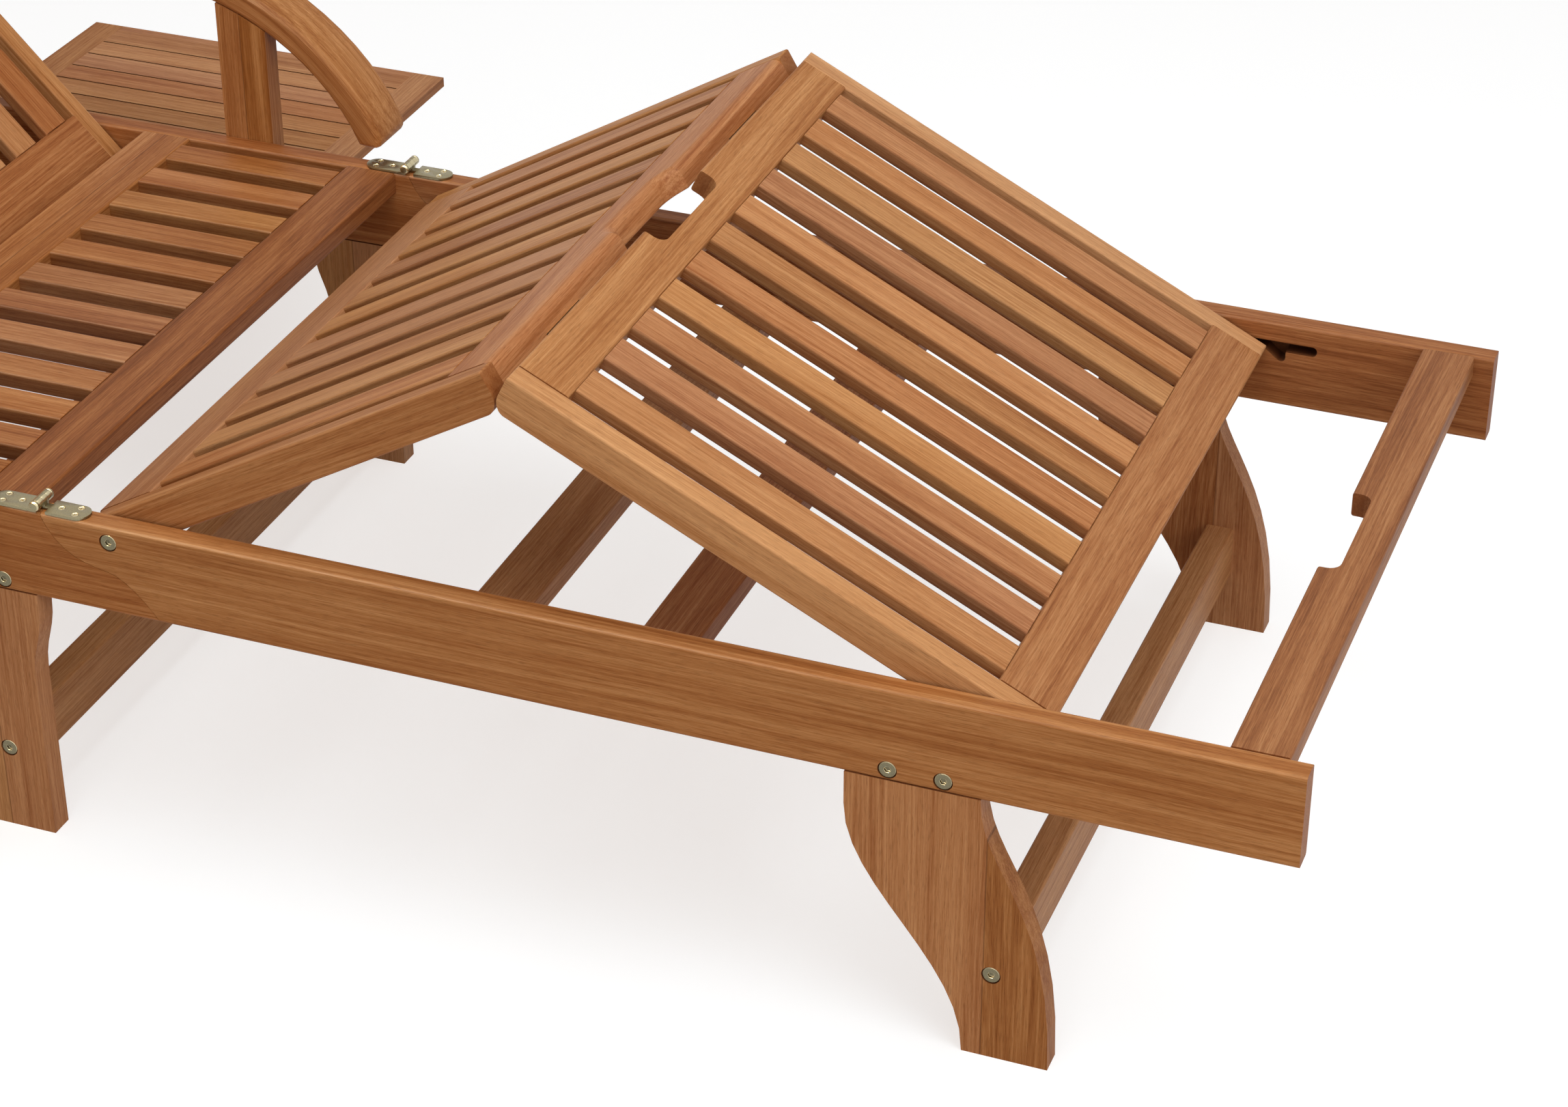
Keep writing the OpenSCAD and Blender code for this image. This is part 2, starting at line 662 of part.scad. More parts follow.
// Strap hinges on the rail tops
strap_y = half_w - rail_t / 2;
strap_cap = 3;
strap_bevel = 1.2;
strap_seg = strap_w / 3;
strap_clear = norm([strap_barrel_r, fold_rise]) + 0.5;
strap_screw_set = 11;
strap_screw_mid = 18;
strap_screw_y = 5.2;
screw_r = 1.6;
screw_head_r = 3;
function strap_segment(i) = strap_y - strap_w / 2 + i * strap_seg;
// The screws' places along a leaf and across it
function strap_screws() = [[strap_len - strap_screw_set, strap_screw_y],
    [strap_len - strap_screw_set, -strap_screw_y], [strap_screw_mid, 0]];
// One leaf with its knuckles; side = 1 lies towards the foot end
module strap_leaf(side, own) {
    play = 0.1;
    translate([fold_x, 0, 0]) mirror([side > 0 ? 0 : 1, 0, 0]) difference() {
        union() {
            translate([0, 0, seat_height]) linear_extrude(height = strap_t) {
                translate([strap_clear, strap_y - strap_w / 2])
                    square([strap_len - strap_w / 2 - strap_clear, strap_w]);
                translate([strap_len - strap_w / 2, strap_y]) circle(r = strap_w / 2);
            }
            for (i = own) {
                translate([0, strap_segment(i) + play, seat_height])
                    cube([strap_clear + 1, strap_seg - 2 * play, strap_t]);
                translate([0, strap_segment(i) + play, seat_height])
                    cube([strap_barrel_r, strap_seg - 2 * play, fold_rise]);
                round_y(0, fold_z, strap_barrel_r, strap_segment(i) + play, strap_segment(i + 1) - play);
            }
        }
        round_y(0, fold_z, strap_pin_r + run_gap, inner_y - 5, half_w + 5);
        for (s = strap_screws())
            translate([s[0], strap_y + s[1], seat_height])
                cylinder(h = strap_t, r1 = screw_r + run_gap, r2 = screw_head_r + run_gap);
    }
}
module seat_hinge_leaves() {
    both_sides() strap_leaf(-1, [0, 2]);
}
module foot_hinge_leaves() {
    both_sides() strap_leaf(1, [1]);
}
module fold_hinge_pins() {
    both_sides() {
        round_y(fold_x, fold_z, strap_pin_r, strap_y - strap_w / 2, strap_y + strap_w / 2);
        for (s = [-1, 1])
            translate([fold_x, strap_y + s * strap_w / 2, fold_z]) rotate([-90 * s, 0, 0])
                rotate_extrude() polygon([[0, 0], [strap_barrel_r, 0],
                    [strap_barrel_r, strap_cap - strap_bevel], [strap_barrel_r - strap_bevel, strap_cap],
                    [0, strap_cap]]);
    }
}
// Countersunk screws in the leaves, with their heads flush
module leaf_screws(side) {
    both_sides() translate([fold_x, 0, 0]) mirror([side > 0 ? 0 : 1, 0, 0])
        for (s = strap_screws())
            translate([s[0], strap_y + s[1], seat_height])
                cylinder(h = strap_t, r1 = screw_r, r2 = screw_head_r);
}

// Frame fastenings
post_bolt_z = [leg_h + post_bolt_inset, seat_height - post_bolt_inset];
post_bolt_len = post_t + rail_t - bolt_sink - blind_wood - pin_room;
module post_holes() {
    for (x = [front_post_x, rear_post_x])
        for (z = post_bolt_z)
            round_y(x - post_w / 2, z, bolt_r + hole_gap, inner_y + blind_wood, half_w + eps);
}
module seat_frame_bolts() {
    both_sides() {
        at_mid() leg_top_bolts();
        at_head() leg_top_bolts();
        at_mid() stretcher_bolt(mid_bolt_x);
        at_head() stretcher_bolt(curved_bolt_x);
        for (x = [front_post_x, rear_post_x])
            for (z = post_bolt_z)
                bolt_at(x - post_w / 2, z, half_w + post_t, post_bolt_len);
    }
}
module foot_frame_bolts() {
    both_sides() at_foot() {
        leg_top_bolts();
        stretcher_bolt(curved_bolt_x);
    }
}
// Pivot bolt from the rail's outer face into the panel stile, with the washer between them
module pivot_bolt(at) {
    washer_t = side_gap - 2 * washer_gap;
    length = half_w - bolt_sink - slat_room_y - blind_wood;
    bolt_at(at[0], at[1], half_w, length, pivot_r);
    difference() {
        round_y(at[0], at[1], pivot_r + washer_rim, panel_y + washer_gap, panel_y + washer_gap + washer_t);
        round_y(at[0], at[1], pivot_r + hole_gap, panel_y - 1, inner_y + 1);
    }
}
module pivot_bore() {
    round_y(0, 0, pivot_r + run_gap, slat_room_y + blind_wood - pin_room, panel_y + 1);
}

// Panel pieces, each in its panel's own frame: x along the panel, z = 0 at its pivot
module stile(x0, x1, z_top, r) {
    intersection() {
        along_y(slat_room_y, panel_y) polygon(box_outline(x0, x1, z_top - stile_h, z_top, r));
        along_x(x0, x1) polygon(box_outline(slat_room_y, panel_y, z_top - stile_h, z_top,
            [1, 1, 1, 1] * bar_edge_r));
    }
}
module panel_bar(x0, x1, z_top) {
    cross_bar(x0, x1, z_top - bar_t, z_top, slat_room_y);
}

// Knee hinges under the knee rails, centred on the knee axis
knee_barrel_r = 3.5;
knee_pin_r = 1.8;
knee_leaf_t = 2;
knee_leaf_len = 30;
knee_hinge_len = 60;
knee_hinge_y = 190;
knee_recess_r = knee_barrel_r + 0.5;
function knee_cut(i) = -knee_hinge_len / 2 + i * knee_hinge_len / 3;
module at_knee_hinges() {
    for (s = [-1, 1])
        translate([0, s * knee_hinge_y, 0]) children();
}
module knee_leaf(side, own) {
    play = 0.15;
    at_knee_hinges() difference() {
        union() {
            translate([side > 0 ? knee_recess_r : -knee_leaf_len, -knee_hinge_len / 2, -knee_leaf_t / 2])
                cube([knee_leaf_len - knee_recess_r, knee_hinge_len, knee_leaf_t]);
            for (i = own) {
                round_y(0, 0, knee_barrel_r, knee_cut(i) + play, knee_cut(i + 1) - play);
                translate([side > 0 ? 0 : -knee_recess_r - 1, knee_cut(i) + play, -knee_leaf_t / 2])
                    cube([knee_recess_r + 1, knee_hinge_len / 3 - 2 * play, knee_leaf_t]);
            }
        }
        round_y(0, 0, knee_pin_r + run_gap, -knee_hinge_len, knee_hinge_len);
    }
}
// Room for the hinge barrels in the corner of a knee rail
module knee_recess() {
    at_knee_hinges() round_y(0, 0, knee_recess_r, -knee_hinge_len / 2 - 1, knee_hinge_len / 2 + 1);
}

// Thigh panel
module at_thigh() {
    translate([thigh_pivot[0], 0, thigh_pivot[1]]) rotate([0, -thigh_angle, 0]) children();
}
module thigh_stile() {
    difference() {
        stile(-pivot_tail, thigh_len, pivot_drop,
            [stile_end_r, knee_corner_r[1], knee_corner_r[0], stile_end_r]);
        pivot_bore();
    }
}
module thigh_knee_rail() {
    x0 = thigh_len - knee_rail_w;
    z0 = pivot_drop - bar_t;
    difference() {
        intersection() {
            along_y(-slat_room_y, slat_room_y)
                polygon(box_outline(x0, thigh_len, z0, pivot_drop, [bar_edge_r, 1, knee_edge_r, bar_edge_r]));
            translate([0, 0, z0]) linear_extrude(height = bar_t)
                polygon(concat([[x0, slat_room_y], [x0, -slat_room_y]],
                    handhold(thigh_len, thigh_notch_d, slat_room_y, -1)));
        }
        translate([knee_local[0], 0, knee_local[1]]) knee_recess();
    }
}
module thigh_pivot_rail() {
    panel_bar(-pivot_tail, pivot_rail_w - pivot_tail, pivot_drop);
}
module thigh_slats() {
    slat_row(pivot_rail_w - pivot_tail, thigh_len - knee_rail_w,
        slat_w, slat_t, slat_pitch, slat_n, pivot_drop);
}
module thigh_hinge_leaves() {
    translate([knee_local[0], 0, knee_local[1]]) knee_leaf(-1, [0, 2]);
}
module knee_hinge_pins() {
    translate([knee_local[0], 0, knee_local[1]]) at_knee_hinges()
        round_y(0, 0, knee_pin_r, -knee_hinge_len / 2, knee_hinge_len / 2);
}

// Calf panel, in a frame at the knee axis
module at_calf() {
    translate([knee[0], 0, knee[1]]) rotate([0, calf_angle, 0]) children();
}
calf_start = knee_gap / 2;
calf_end = calf_start + calf_len;
module calf_stile() {
    difference() {
        stile(calf_start, calf_end, knee_drop,
            [knee_corner_r[1], stile_tip_r, stile_tip_r, knee_corner_r[0]]);
        round_y(calf_pin_reach, -calf_pin_v, guide_pin_r, slat_room_y + socket_wood, panel_y + 1);
    }
}
module calf_knee_rail() {
    x1 = calf_start + knee_rail_w;
    difference() {
        intersection() {
            cross_bar(calf_start, x1, knee_drop - bar_t, knee_drop, slat_room_y);
            translate([0, 0, knee_drop - bar_t]) linear_extrude(height = bar_t)
                polygon(concat(handhold(calf_start, calf_notch_d, slat_room_y),
                    [[x1, slat_room_y], [x1, -slat_room_y]]));
        }
        knee_recess();
    }
}
module calf_foot_rail() {
    panel_bar(calf_end - panel_rail_w, calf_end, knee_drop);
}
module calf_slats() {
    slat_row(calf_start + knee_rail_w, calf_end - panel_rail_w,
        slat_w, slat_t, slat_pitch, slat_n, knee_drop);
}
module calf_guide_pins() {
    both_sides()
        round_y(calf_pin_reach, -calf_pin_v, guide_pin_r, slat_room_y + socket_wood,
            inner_y + slot_d - pin_room);
}

// Backrest, which runs towards -X from its pivot
module at_back() {
    translate([back_pivot[0], 0, back_pivot[1]]) rotate([0, back_angle, 0]) children();
}
module back_stile() {
    difference() {
        stile(-back_len, pivot_tail, pivot_drop, [stile_tip_r, stile_end_r, stile_end_r, stile_tip_r]);
        pivot_bore();
        round_y(-prop_arm, -prop_drop, pivot_r, slat_room_y - 1, panel_y - blind_wood);
    }
}
module back_pivot_rail() {
    panel_bar(pivot_tail - pivot_rail_w, pivot_tail, pivot_drop);
}
module back_top_rail() {
    panel_bar(-back_len, -back_len + panel_rail_w, pivot_drop);
}
module back_slats() {
    slat_row(-back_len + panel_rail_w, pivot_tail - pivot_rail_w,
        slat_w, slat_t, slat_pitch, slat_n, pivot_drop);
}

// Prop of the backrest, in a frame at its pivot, running towards -X
prop_y1 = slat_room_y - prop_play;
prop_y0 = prop_y1 - prop_t;
module at_prop() {
    translate([prop_pivot[0], 0, prop_pivot[1]]) rotate([0, -prop_angle, 0]) children();
}
module prop_struts() {
    both_sides() difference() {
        along_y(prop_y0, prop_y1) prop_outline();
        round_y(0, 0, pivot_r + run_gap, prop_y0 + blind_wood, prop_y1 + 1);
        round_y(-prop_len, 0, guide_pin_r, prop_y0 + socket_wood, prop_y1 + 1);
    }
}
// A bar with round ends, from the prop's pivot to its guide pins
module prop_outline() {
    translate([-prop_len, -prop_w / 2]) square([prop_len, prop_w]);
    circle(d = prop_w);
    translate([-prop_len, 0]) circle(d = prop_w);
}
module prop_cross_bar() {
    x0 = -prop_len + prop_bar_set;
    along_y(-prop_y0, prop_y0)
        polygon(box_outline(x0, x0 + prop_bar_w, -prop_bar_t / 2, prop_bar_t / 2,
            [1, 1, 1, 1] * bar_edge_r));
}
module prop_guide_pins() {
    both_sides()
        round_y(-prop_len, 0, guide_pin_r, prop_y0 + socket_wood, inner_y + slot_d - pin_room);
}
module prop_pivot_pins() {
    both_sides()
        round_y(-prop_arm, -prop_drop, pivot_r, prop_y0 + blind_wood + pin_room, panel_y - blind_wood);
}

// Armrests and their posts
arm_curve = [[arm_tip_x - arm_bends[0], arm_top_z], [arm_tip_x - arm_bends[1], arm_top_z],
    [arm_tip_x - arm_bends[2], seat_height + arm_shoulder * arm_rise],
    [arm_tip_x, seat_height + arm_end_rise]];
arm_low_z = seat_height + arm_low_rise;
function arm_outline() = concat(
    [[arm_rear_x, arm_top_z - arm_t]],
    offset_curve(arm_curve, arm_t, arm_steps),
    [[arm_tip_x - arm_nose_flat, arm_low_z]],
    arc([arm_tip_x - arm_nose_r, arm_low_z + arm_nose_r], arm_nose_r, -90, 0),
    backwards(curve(arm_curve, arm_steps)),
    [[arm_rear_x, arm_top_z]]);
// Edge radius at each point of that outline
function arm_radii() = concat([for (i = [0:arm_steps + 1]) arm_low_edge_r],
    [for (i = [0:arm_steps + 8]) arm_edge_r]);
module armrest() {
    soft_board(arm_outline(), arm_radii(), arm_y, arm_y + arm_w);
}
// A post ends in the armrest's lower face
module arm_post(x) {
    difference() {
        along_y(half_w, half_w + post_t) difference() {
            translate([x - post_w, leg_h]) square([post_w, arm_top_z - leg_h]);
            polygon(concat(offset_curve(arm_curve, arm_t, arm_steps),
                [[arm_tip_x, arm_top_z + 1], [arm_rear_x - 1, arm_top_z + 1],
                    [arm_rear_x - 1, arm_top_z - arm_t]]));
        }
        for (z = post_bolt_z)
            bolt_hole(x - post_w / 2, z, half_w + post_t, half_w - 1);
    }
}

// Tray and its two runners
module runner(side) {
    outer = runner_play + runner_w;
    inner = runner_play - runner_lip;
    lip_z = tray_bottom_z - runner_gap;
    translate([side > 0 ? tray_front_x : tray_rear_x, 0, 0]) mirror([side > 0 ? 0 : 1, 0, 0])
        along_y(-half_w, half_w)
            polygon([[runner_play, leg_h], [outer, leg_h], [outer, lip_z - runner_lip_t],
                [inner, lip_z - runner_lip_t], [inner, lip_z], [runner_play, lip_z]]);
}
module tray_runners() {
    runner(1);
    runner(-1);
}
module tray_end_boards() {
    for (x = [tray_rear_x, tray_front_x - tray_end_w])
        translate([x, tray_near_y, tray_bottom_z])
            cube([tray_end_w, tray_depth, tray_t]);
}
module tray_board(y, w) {
    x0 = tray_rear_x + tray_end_w;
    translate([x0, y, tray_bottom_z]) cube([tray_len - 2 * tray_end_w, w, tray_t]);
}
module tray_boards() {
    tray_board(tray_near_y, tray_edge_w);
    for (i = [0:tray_board_n - 1])
        tray_board(tray_near_y + tray_edge_w + tray_slit + i * tray_pitch, tray_pitch - tray_slit);
    tray_board(tray_far_y - tray_edge_w, tray_edge_w);
}

color(wood) placed() near() seat_rail();  // seat_rail_near
color(wood) placed() seat_rail();  // seat_rail_far
color(wood_pale) placed() seat_front_bar();
color(wood_pale) placed() seat_rear_bar();
color(wood_pale) placed() seat_slats();
color(wood_pale) placed() head_cross_rail();
color(wood_deep) placed() near() at_mid() mid_leg();  // mid_leg_near
color(wood_deep) placed() at_mid() mid_leg();  // mid_leg_far
color(wood) placed() at_mid() stretcher(mid_bolt_x);  // mid_stretcher
color(wood_deep) placed() near() at_head() curved_leg();  // head_leg_near
color(wood_deep) placed() at_head() curved_leg();  // head_leg_far
color(wood) placed() at_head() stretcher(curved_bolt_x);  // head_stretcher
color(wood_pale) placed() near() armrest();  // armrest_near
color(wood_pale) placed() armrest();  // armrest_far
color(wood) placed() near() arm_post(front_post_x);  // front_arm_post_near
color(wood) placed() arm_post(front_post_x);  // front_arm_post_far
color(wood) placed() near() arm_post(rear_post_x);  // rear_arm_post_near
color(wood) placed() arm_post(rear_post_x);  // rear_arm_post_far
color(wood_deep) placed() tray_runners();
color(brass) placed() seat_frame_bolts();
color(brass) placed() both_sides() pivot_bolt(back_pivot);  // back_pivot_bolts
color(brass) placed() seat_hinge_leaves();
color(brass) placed() fold_hinge_pins();
color(brass) placed() leaf_screws(-1);  // seat_hinge_screws
color(wood) placed() near() foot_rail();  // foot_rail_near
color(wood) placed() foot_rail();  // foot_rail_far
color(wood_pale) placed() foot_cross_rail();
color(wood_deep) placed() cross_boards();
color(wood_deep) placed() near() at_foot() curved_leg();  // foot_leg_near
color(wood_deep) placed() at_foot() curved_leg();  // foot_leg_far
color(wood) placed() at_foot() stretcher(curved_bolt_x);  // foot_stretcher
color(brass) placed() foot_frame_bolts();
color(brass) placed() both_sides() pivot_bolt(thigh_pivot);  // thigh_pivot_bolts
color(brass) placed() foot_hinge_leaves();
color(brass) placed() leaf_screws(1);  // foot_hinge_screws
color(wood) placed() near() at_thigh() thigh_stile();  // thigh_stile_near
color(wood) placed() at_thigh() thigh_stile();  // thigh_stile_far
color(wood_pale) placed() at_thigh() thigh_knee_rail();
color(wood_pale) placed() at_thigh() thigh_pivot_rail();
color(wood_pale) placed() at_thigh() thigh_slats();
color(brass) placed() at_thigh() thigh_hinge_leaves();
color(brass) placed() at_thigh() knee_hinge_pins();
color(wood) placed() near() at_calf() calf_stile();  // calf_stile_near
color(wood) placed() at_calf() calf_stile();  // calf_stile_far
color(wood_pale) placed() at_calf() calf_knee_rail();
color(wood_pale) placed() at_calf() calf_foot_rail();
color(wood_pale) placed() at_calf() calf_slats();
color(brass) placed() at_calf() knee_leaf(1, [1]);  // calf_hinge_leaves
color(brass) placed() at_calf() calf_guide_pins();
color(wood) placed() near() at_back() back_stile();  // back_stile_near
color(wood) placed() at_back() back_stile();  // back_stile_far
color(wood_pale) placed() at_back() back_pivot_rail();
color(wood_pale) placed() at_back() back_top_rail();
color(wood_pale) placed() at_back() back_slats();
color(brass) placed() at_back() prop_pivot_pins();
color(wood_deep) placed() at_prop() prop_struts();
color(wood_deep) placed() at_prop() prop_cross_bar();
color(brass) placed() at_prop() prop_guide_pins();
color(wood_pale) placed() tray_end_boards();
color(wood) placed() tray_boards();
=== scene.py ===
"""Looks of a folding, slatted wooden deckchair with brass fittings.

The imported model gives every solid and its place. This script gives each one its finish, adds the small
fittings that the solids leave plain, and sets up the studio. Lengths are metres in the chair's own frame:
X runs towards the foot end, Y towards the side on which the tray is pulled out, and Z up from the floor.
"""

import logging
import math
from dataclasses import dataclass, replace
from enum import Enum
from typing import Callable, Sequence

import bpy
from mathutils import Matrix, Vector


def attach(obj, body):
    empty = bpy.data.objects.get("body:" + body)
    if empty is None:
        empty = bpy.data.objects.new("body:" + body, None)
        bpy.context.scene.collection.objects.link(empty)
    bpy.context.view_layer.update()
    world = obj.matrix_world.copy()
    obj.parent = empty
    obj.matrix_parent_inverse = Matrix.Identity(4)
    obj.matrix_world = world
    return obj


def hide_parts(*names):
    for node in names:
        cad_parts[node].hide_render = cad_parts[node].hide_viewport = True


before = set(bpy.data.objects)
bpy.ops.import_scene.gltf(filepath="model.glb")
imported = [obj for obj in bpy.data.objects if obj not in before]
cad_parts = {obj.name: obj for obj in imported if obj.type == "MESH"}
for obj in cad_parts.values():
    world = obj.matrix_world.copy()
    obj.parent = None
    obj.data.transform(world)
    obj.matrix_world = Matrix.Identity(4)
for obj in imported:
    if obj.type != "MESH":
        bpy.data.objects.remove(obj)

LOG = logging.getLogger("deckchair")
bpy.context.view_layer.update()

# Plane midway between the two side rails
MIDDLE_Y = -0.15555
# Distance within which two points count as one
NEAR = 1e-5
# Angle in degrees past which an edge of the metal is broken
BROKEN = 40.0
# Range of a slanted face's normal along the axis that it is slanted to
SLANTED = (0.2, 0.95)

Colour = tuple[float, float, float]
Point = tuple[float, float, float]


class Run(Enum):
    """Direction in which a board's grain runs, as the turn that lays it along X."""

    LENGTHWISE = (0.0, 0.0, 0.0)
    ACROSS = (0.0, 0.0, -90.0)
    UPRIGHT = (0.0, 90.0, 0.0)


class Axis(Enum):
    """Axis along which the boards of one node follow each other."""

    X = 0
    Y = 1


class Graph:
    """Builds the nodes of one material or of the world."""

    def __init__(self, owner: bpy.types.Material | bpy.types.World) -> None:
        """Empties the node tree of a material or world.

        Args:
            owner: The material or world.
        """
        owner.use_nodes = True
        self.owner = owner
        self.tree = owner.node_tree
        self.tree.nodes.clear()

    def node(self, kind: str, inputs: dict | None = None, **settings: object) -> bpy.types.Node:
        """Adds a node, sets its properties and fills its sockets.

        Args:
            kind: Type name of the node.
            inputs: Values or output sockets by socket name or number.
            **settings: Properties of the node.

        Returns:
            The new node.
        """
        made = self.tree.nodes.new(kind)
        for key, value in settings.items():
            setattr(made, key, value)
        for key, value in (inputs or {}).items():
            if isinstance(value, bpy.types.NodeSocket):
                self.tree.links.new(value, made.inputs[key])
            else:
                made.inputs[key].default_value = value
        return made

    def math(self, operation: str, *values: object) -> bpy.types.NodeSocket:
        """Adds a math node."""
        return self.node("ShaderNodeMath", dict(enumerate(values)), operation=operation).outputs[0]

    def coordinates(self, kind: str = "Object") -> bpy.types.NodeSocket:
        """Adds texture coordinates."""
        return self.node("ShaderNodeTexCoord").outputs[kind]

    def parts(self, vector: object) -> bpy.types.bpy_prop_collection:
        """Splits a point."""
        return self.node("ShaderNodeSeparateXYZ", {0: vector}).outputs

    def any_ray(self, *kinds: str) -> bpy.types.NodeSocket:
        """Tells whether a ray is of one of several kinds.

        Args:
            *kinds: Names of the light path's outputs.

        Returns:
            A socket that is 1 for those rays and 0 for others.
        """
        rays = self.node("ShaderNodeLightPath").outputs
        result = rays[kinds[0]]
        for kind in kinds[1:]:
            result = self.math("MAXIMUM", result, rays[kind])
        return result

    def bump(self, height: object, strength: float, distance: float) -> bpy.types.NodeSocket:
        """Adds a bump."""
        inputs = {"Height": height, "Strength": strength, "Distance": distance}
        return self.node("ShaderNodeBump", inputs).outputs[0]

    def noise(self, vector: object, scale: float, detail: float, rough: float = 0.5) -> bpy.types.NodeSocket:
        """Adds a noise texture."""
        inputs = {"Vector": vector, "Scale": scale, "Detail": detail, "Roughness": rough}
        return self.node("ShaderNodeTexNoise", inputs).outputs["Fac"]

    def layers(self, along: object, scale: float, detail: float, rough: float = 0.5) -> bpy.types.NodeSocket:
        """Adds a noise along one number, as growth layers follow each other."""
        inputs = {"W": along, "Scale": scale, "Detail": detail, "Roughness": rough}
        return self.node("ShaderNodeTexNoise", inputs, noise_dimensions="1D").outputs["Fac"]

    def drawn_noise(
        self, point: object, along: float, across: float, detail: float, rough: float = 0.5
    ) -> bpy.types.NodeSocket:
        """Adds a noise that is drawn out along X."""
        return self.noise(self.stretched(point, (along, across, across)), 1.0, detail, rough)

    def drifted(self, point: object, scale: Sequence[float], reach: float) -> bpy.types.NodeSocket:
        """Moves a point sideways by a slow noise, as fibres waver.

        Args:
            point: Socket of the point, with the grain along X.
            scale: Scale of the waver along X, Y and Z.
            reach: Width of the waver.

        Returns:
            The socket of the moved point.
        """
        inputs = {"Vector": self.stretched(point, scale), "Scale": 1.0, "Detail": 2.0, "Roughness": 0.5}
        waver = self.node("ShaderNodeTexNoise", inputs).outputs["Color"]
        return self.scaled_sum(waver, (0.0, reach, reach), point)

    def scaled_sum(self, vector: object, scale: Sequence[float], other: object) -> bpy.types.NodeSocket:
        """Multiplies a point by a scale for each axis and adds another point."""
        inputs = {0: vector, 1: scale, 2: other}
        return self.node("ShaderNodeVectorMath", inputs, operation="MULTIPLY_ADD").outputs[0]

    def total(self, parts: Sequence[tuple[object, float]], offset: float = 0.0) -> bpy.types.NodeSocket:
        """Adds weighted values.

        Args:
            parts: Sockets and their weights.
            offset: Number to start from.

        Returns:
            The socket of the sum.
        """
        result: object = offset
        for value, weight in parts:
            result = self.math("MULTIPLY_ADD", value, weight, result)
        return result

    def stretched(self, vector: object, scale: Sequence[float]) -> bpy.types.NodeSocket:
        """Multiplies a point by a scale for each axis."""
        return self.node("ShaderNodeVectorMath", {0: vector, 1: scale}, operation="MULTIPLY").outputs[0]

    def span(
        self, value: object, low: float, high: float, to_low: float, to_high: float
    ) -> bpy.types.NodeSocket:
        """Maps a range of values to another, held at its ends."""
        inputs = {"Value": value, "From Min": low, "From Max": high, "To Min": to_low, "To Max": to_high}
        return self.node("ShaderNodeMapRange", inputs).outputs["Result"]

    def ramp(self, value: object, stops: Sequence[tuple[float, Colour]]) -> bpy.types.NodeSocket:
        """Adds a colour ramp.

        Args:
            value: Socket of the place along the ramp.
            stops: Places and colours.

        Returns:
            The colour's socket.
        """
        made = self.node("ShaderNodeValToRGB", {"Fac": value})
        line = made.color_ramp
        line.interpolation = "B_SPLINE"
        for i, (place, colour) in enumerate(stops):
            stop = line.elements[i] if i < 2 else line.elements.new(place)
            stop.position = place
            stop.color = (*colour, 1.0)
        return made.outputs["Color"]

    def blend(self, share: object, shader: bpy.types.Node, other: bpy.types.Node) -> bpy.types.Node:
        """Blends a shader with another."""
        return self.node("ShaderNodeMixShader", {0: share, 1: shader.outputs[0], 2: other.outputs[0]})

    def finish(self, shader: bpy.types.Node) -> bpy.types.Material | bpy.types.World:
        """Leads a shader to the output.

        Args:
            shader: The last shader node.

        Returns:
            The finished material or world.
        """
        kind = "World" if isinstance(self.owner, bpy.types.World) else "Material"
        self.node(f"ShaderNodeOutput{kind}", {"Surface": shader.outputs[0]})
        return self.owner


@dataclass(frozen=True)
class Board:
    """One wooden node: how its grain lies and how its boards or glued staves follow each other.

    Attributes:
        node: Name of the node.
        run: Direction of the grain.
        seed: Where in the grain its boards are cut.
        tilt: Angle in degrees by which the grain rises or falls.
        tone: How much lighter it is than the other wood.
        pitch: Distance from board to board, or 0 where cuts are given.
        start: Where the first board begins.
        row: Axis along which the boards follow each other.
        cuts: Places of its glue lines along that axis.
        spread: How far its boards differ in tone.
        flame: How far the growth layers rise and fall along it, in metres.
        bow: Where its bowed end starts along the chair, how long it is and how far it drops.
    """

    node: str
    run: Run
    seed: float
    tilt: float = 0.0
    tone: float = 0.0
    pitch: float = 0.0
    start: float = 0.0
    row: Axis = Axis.Y
    cuts: tuple[float, ...] = ()
    spread: float = 0.16
    flame: float = 0.09
    bow: Point | None = None


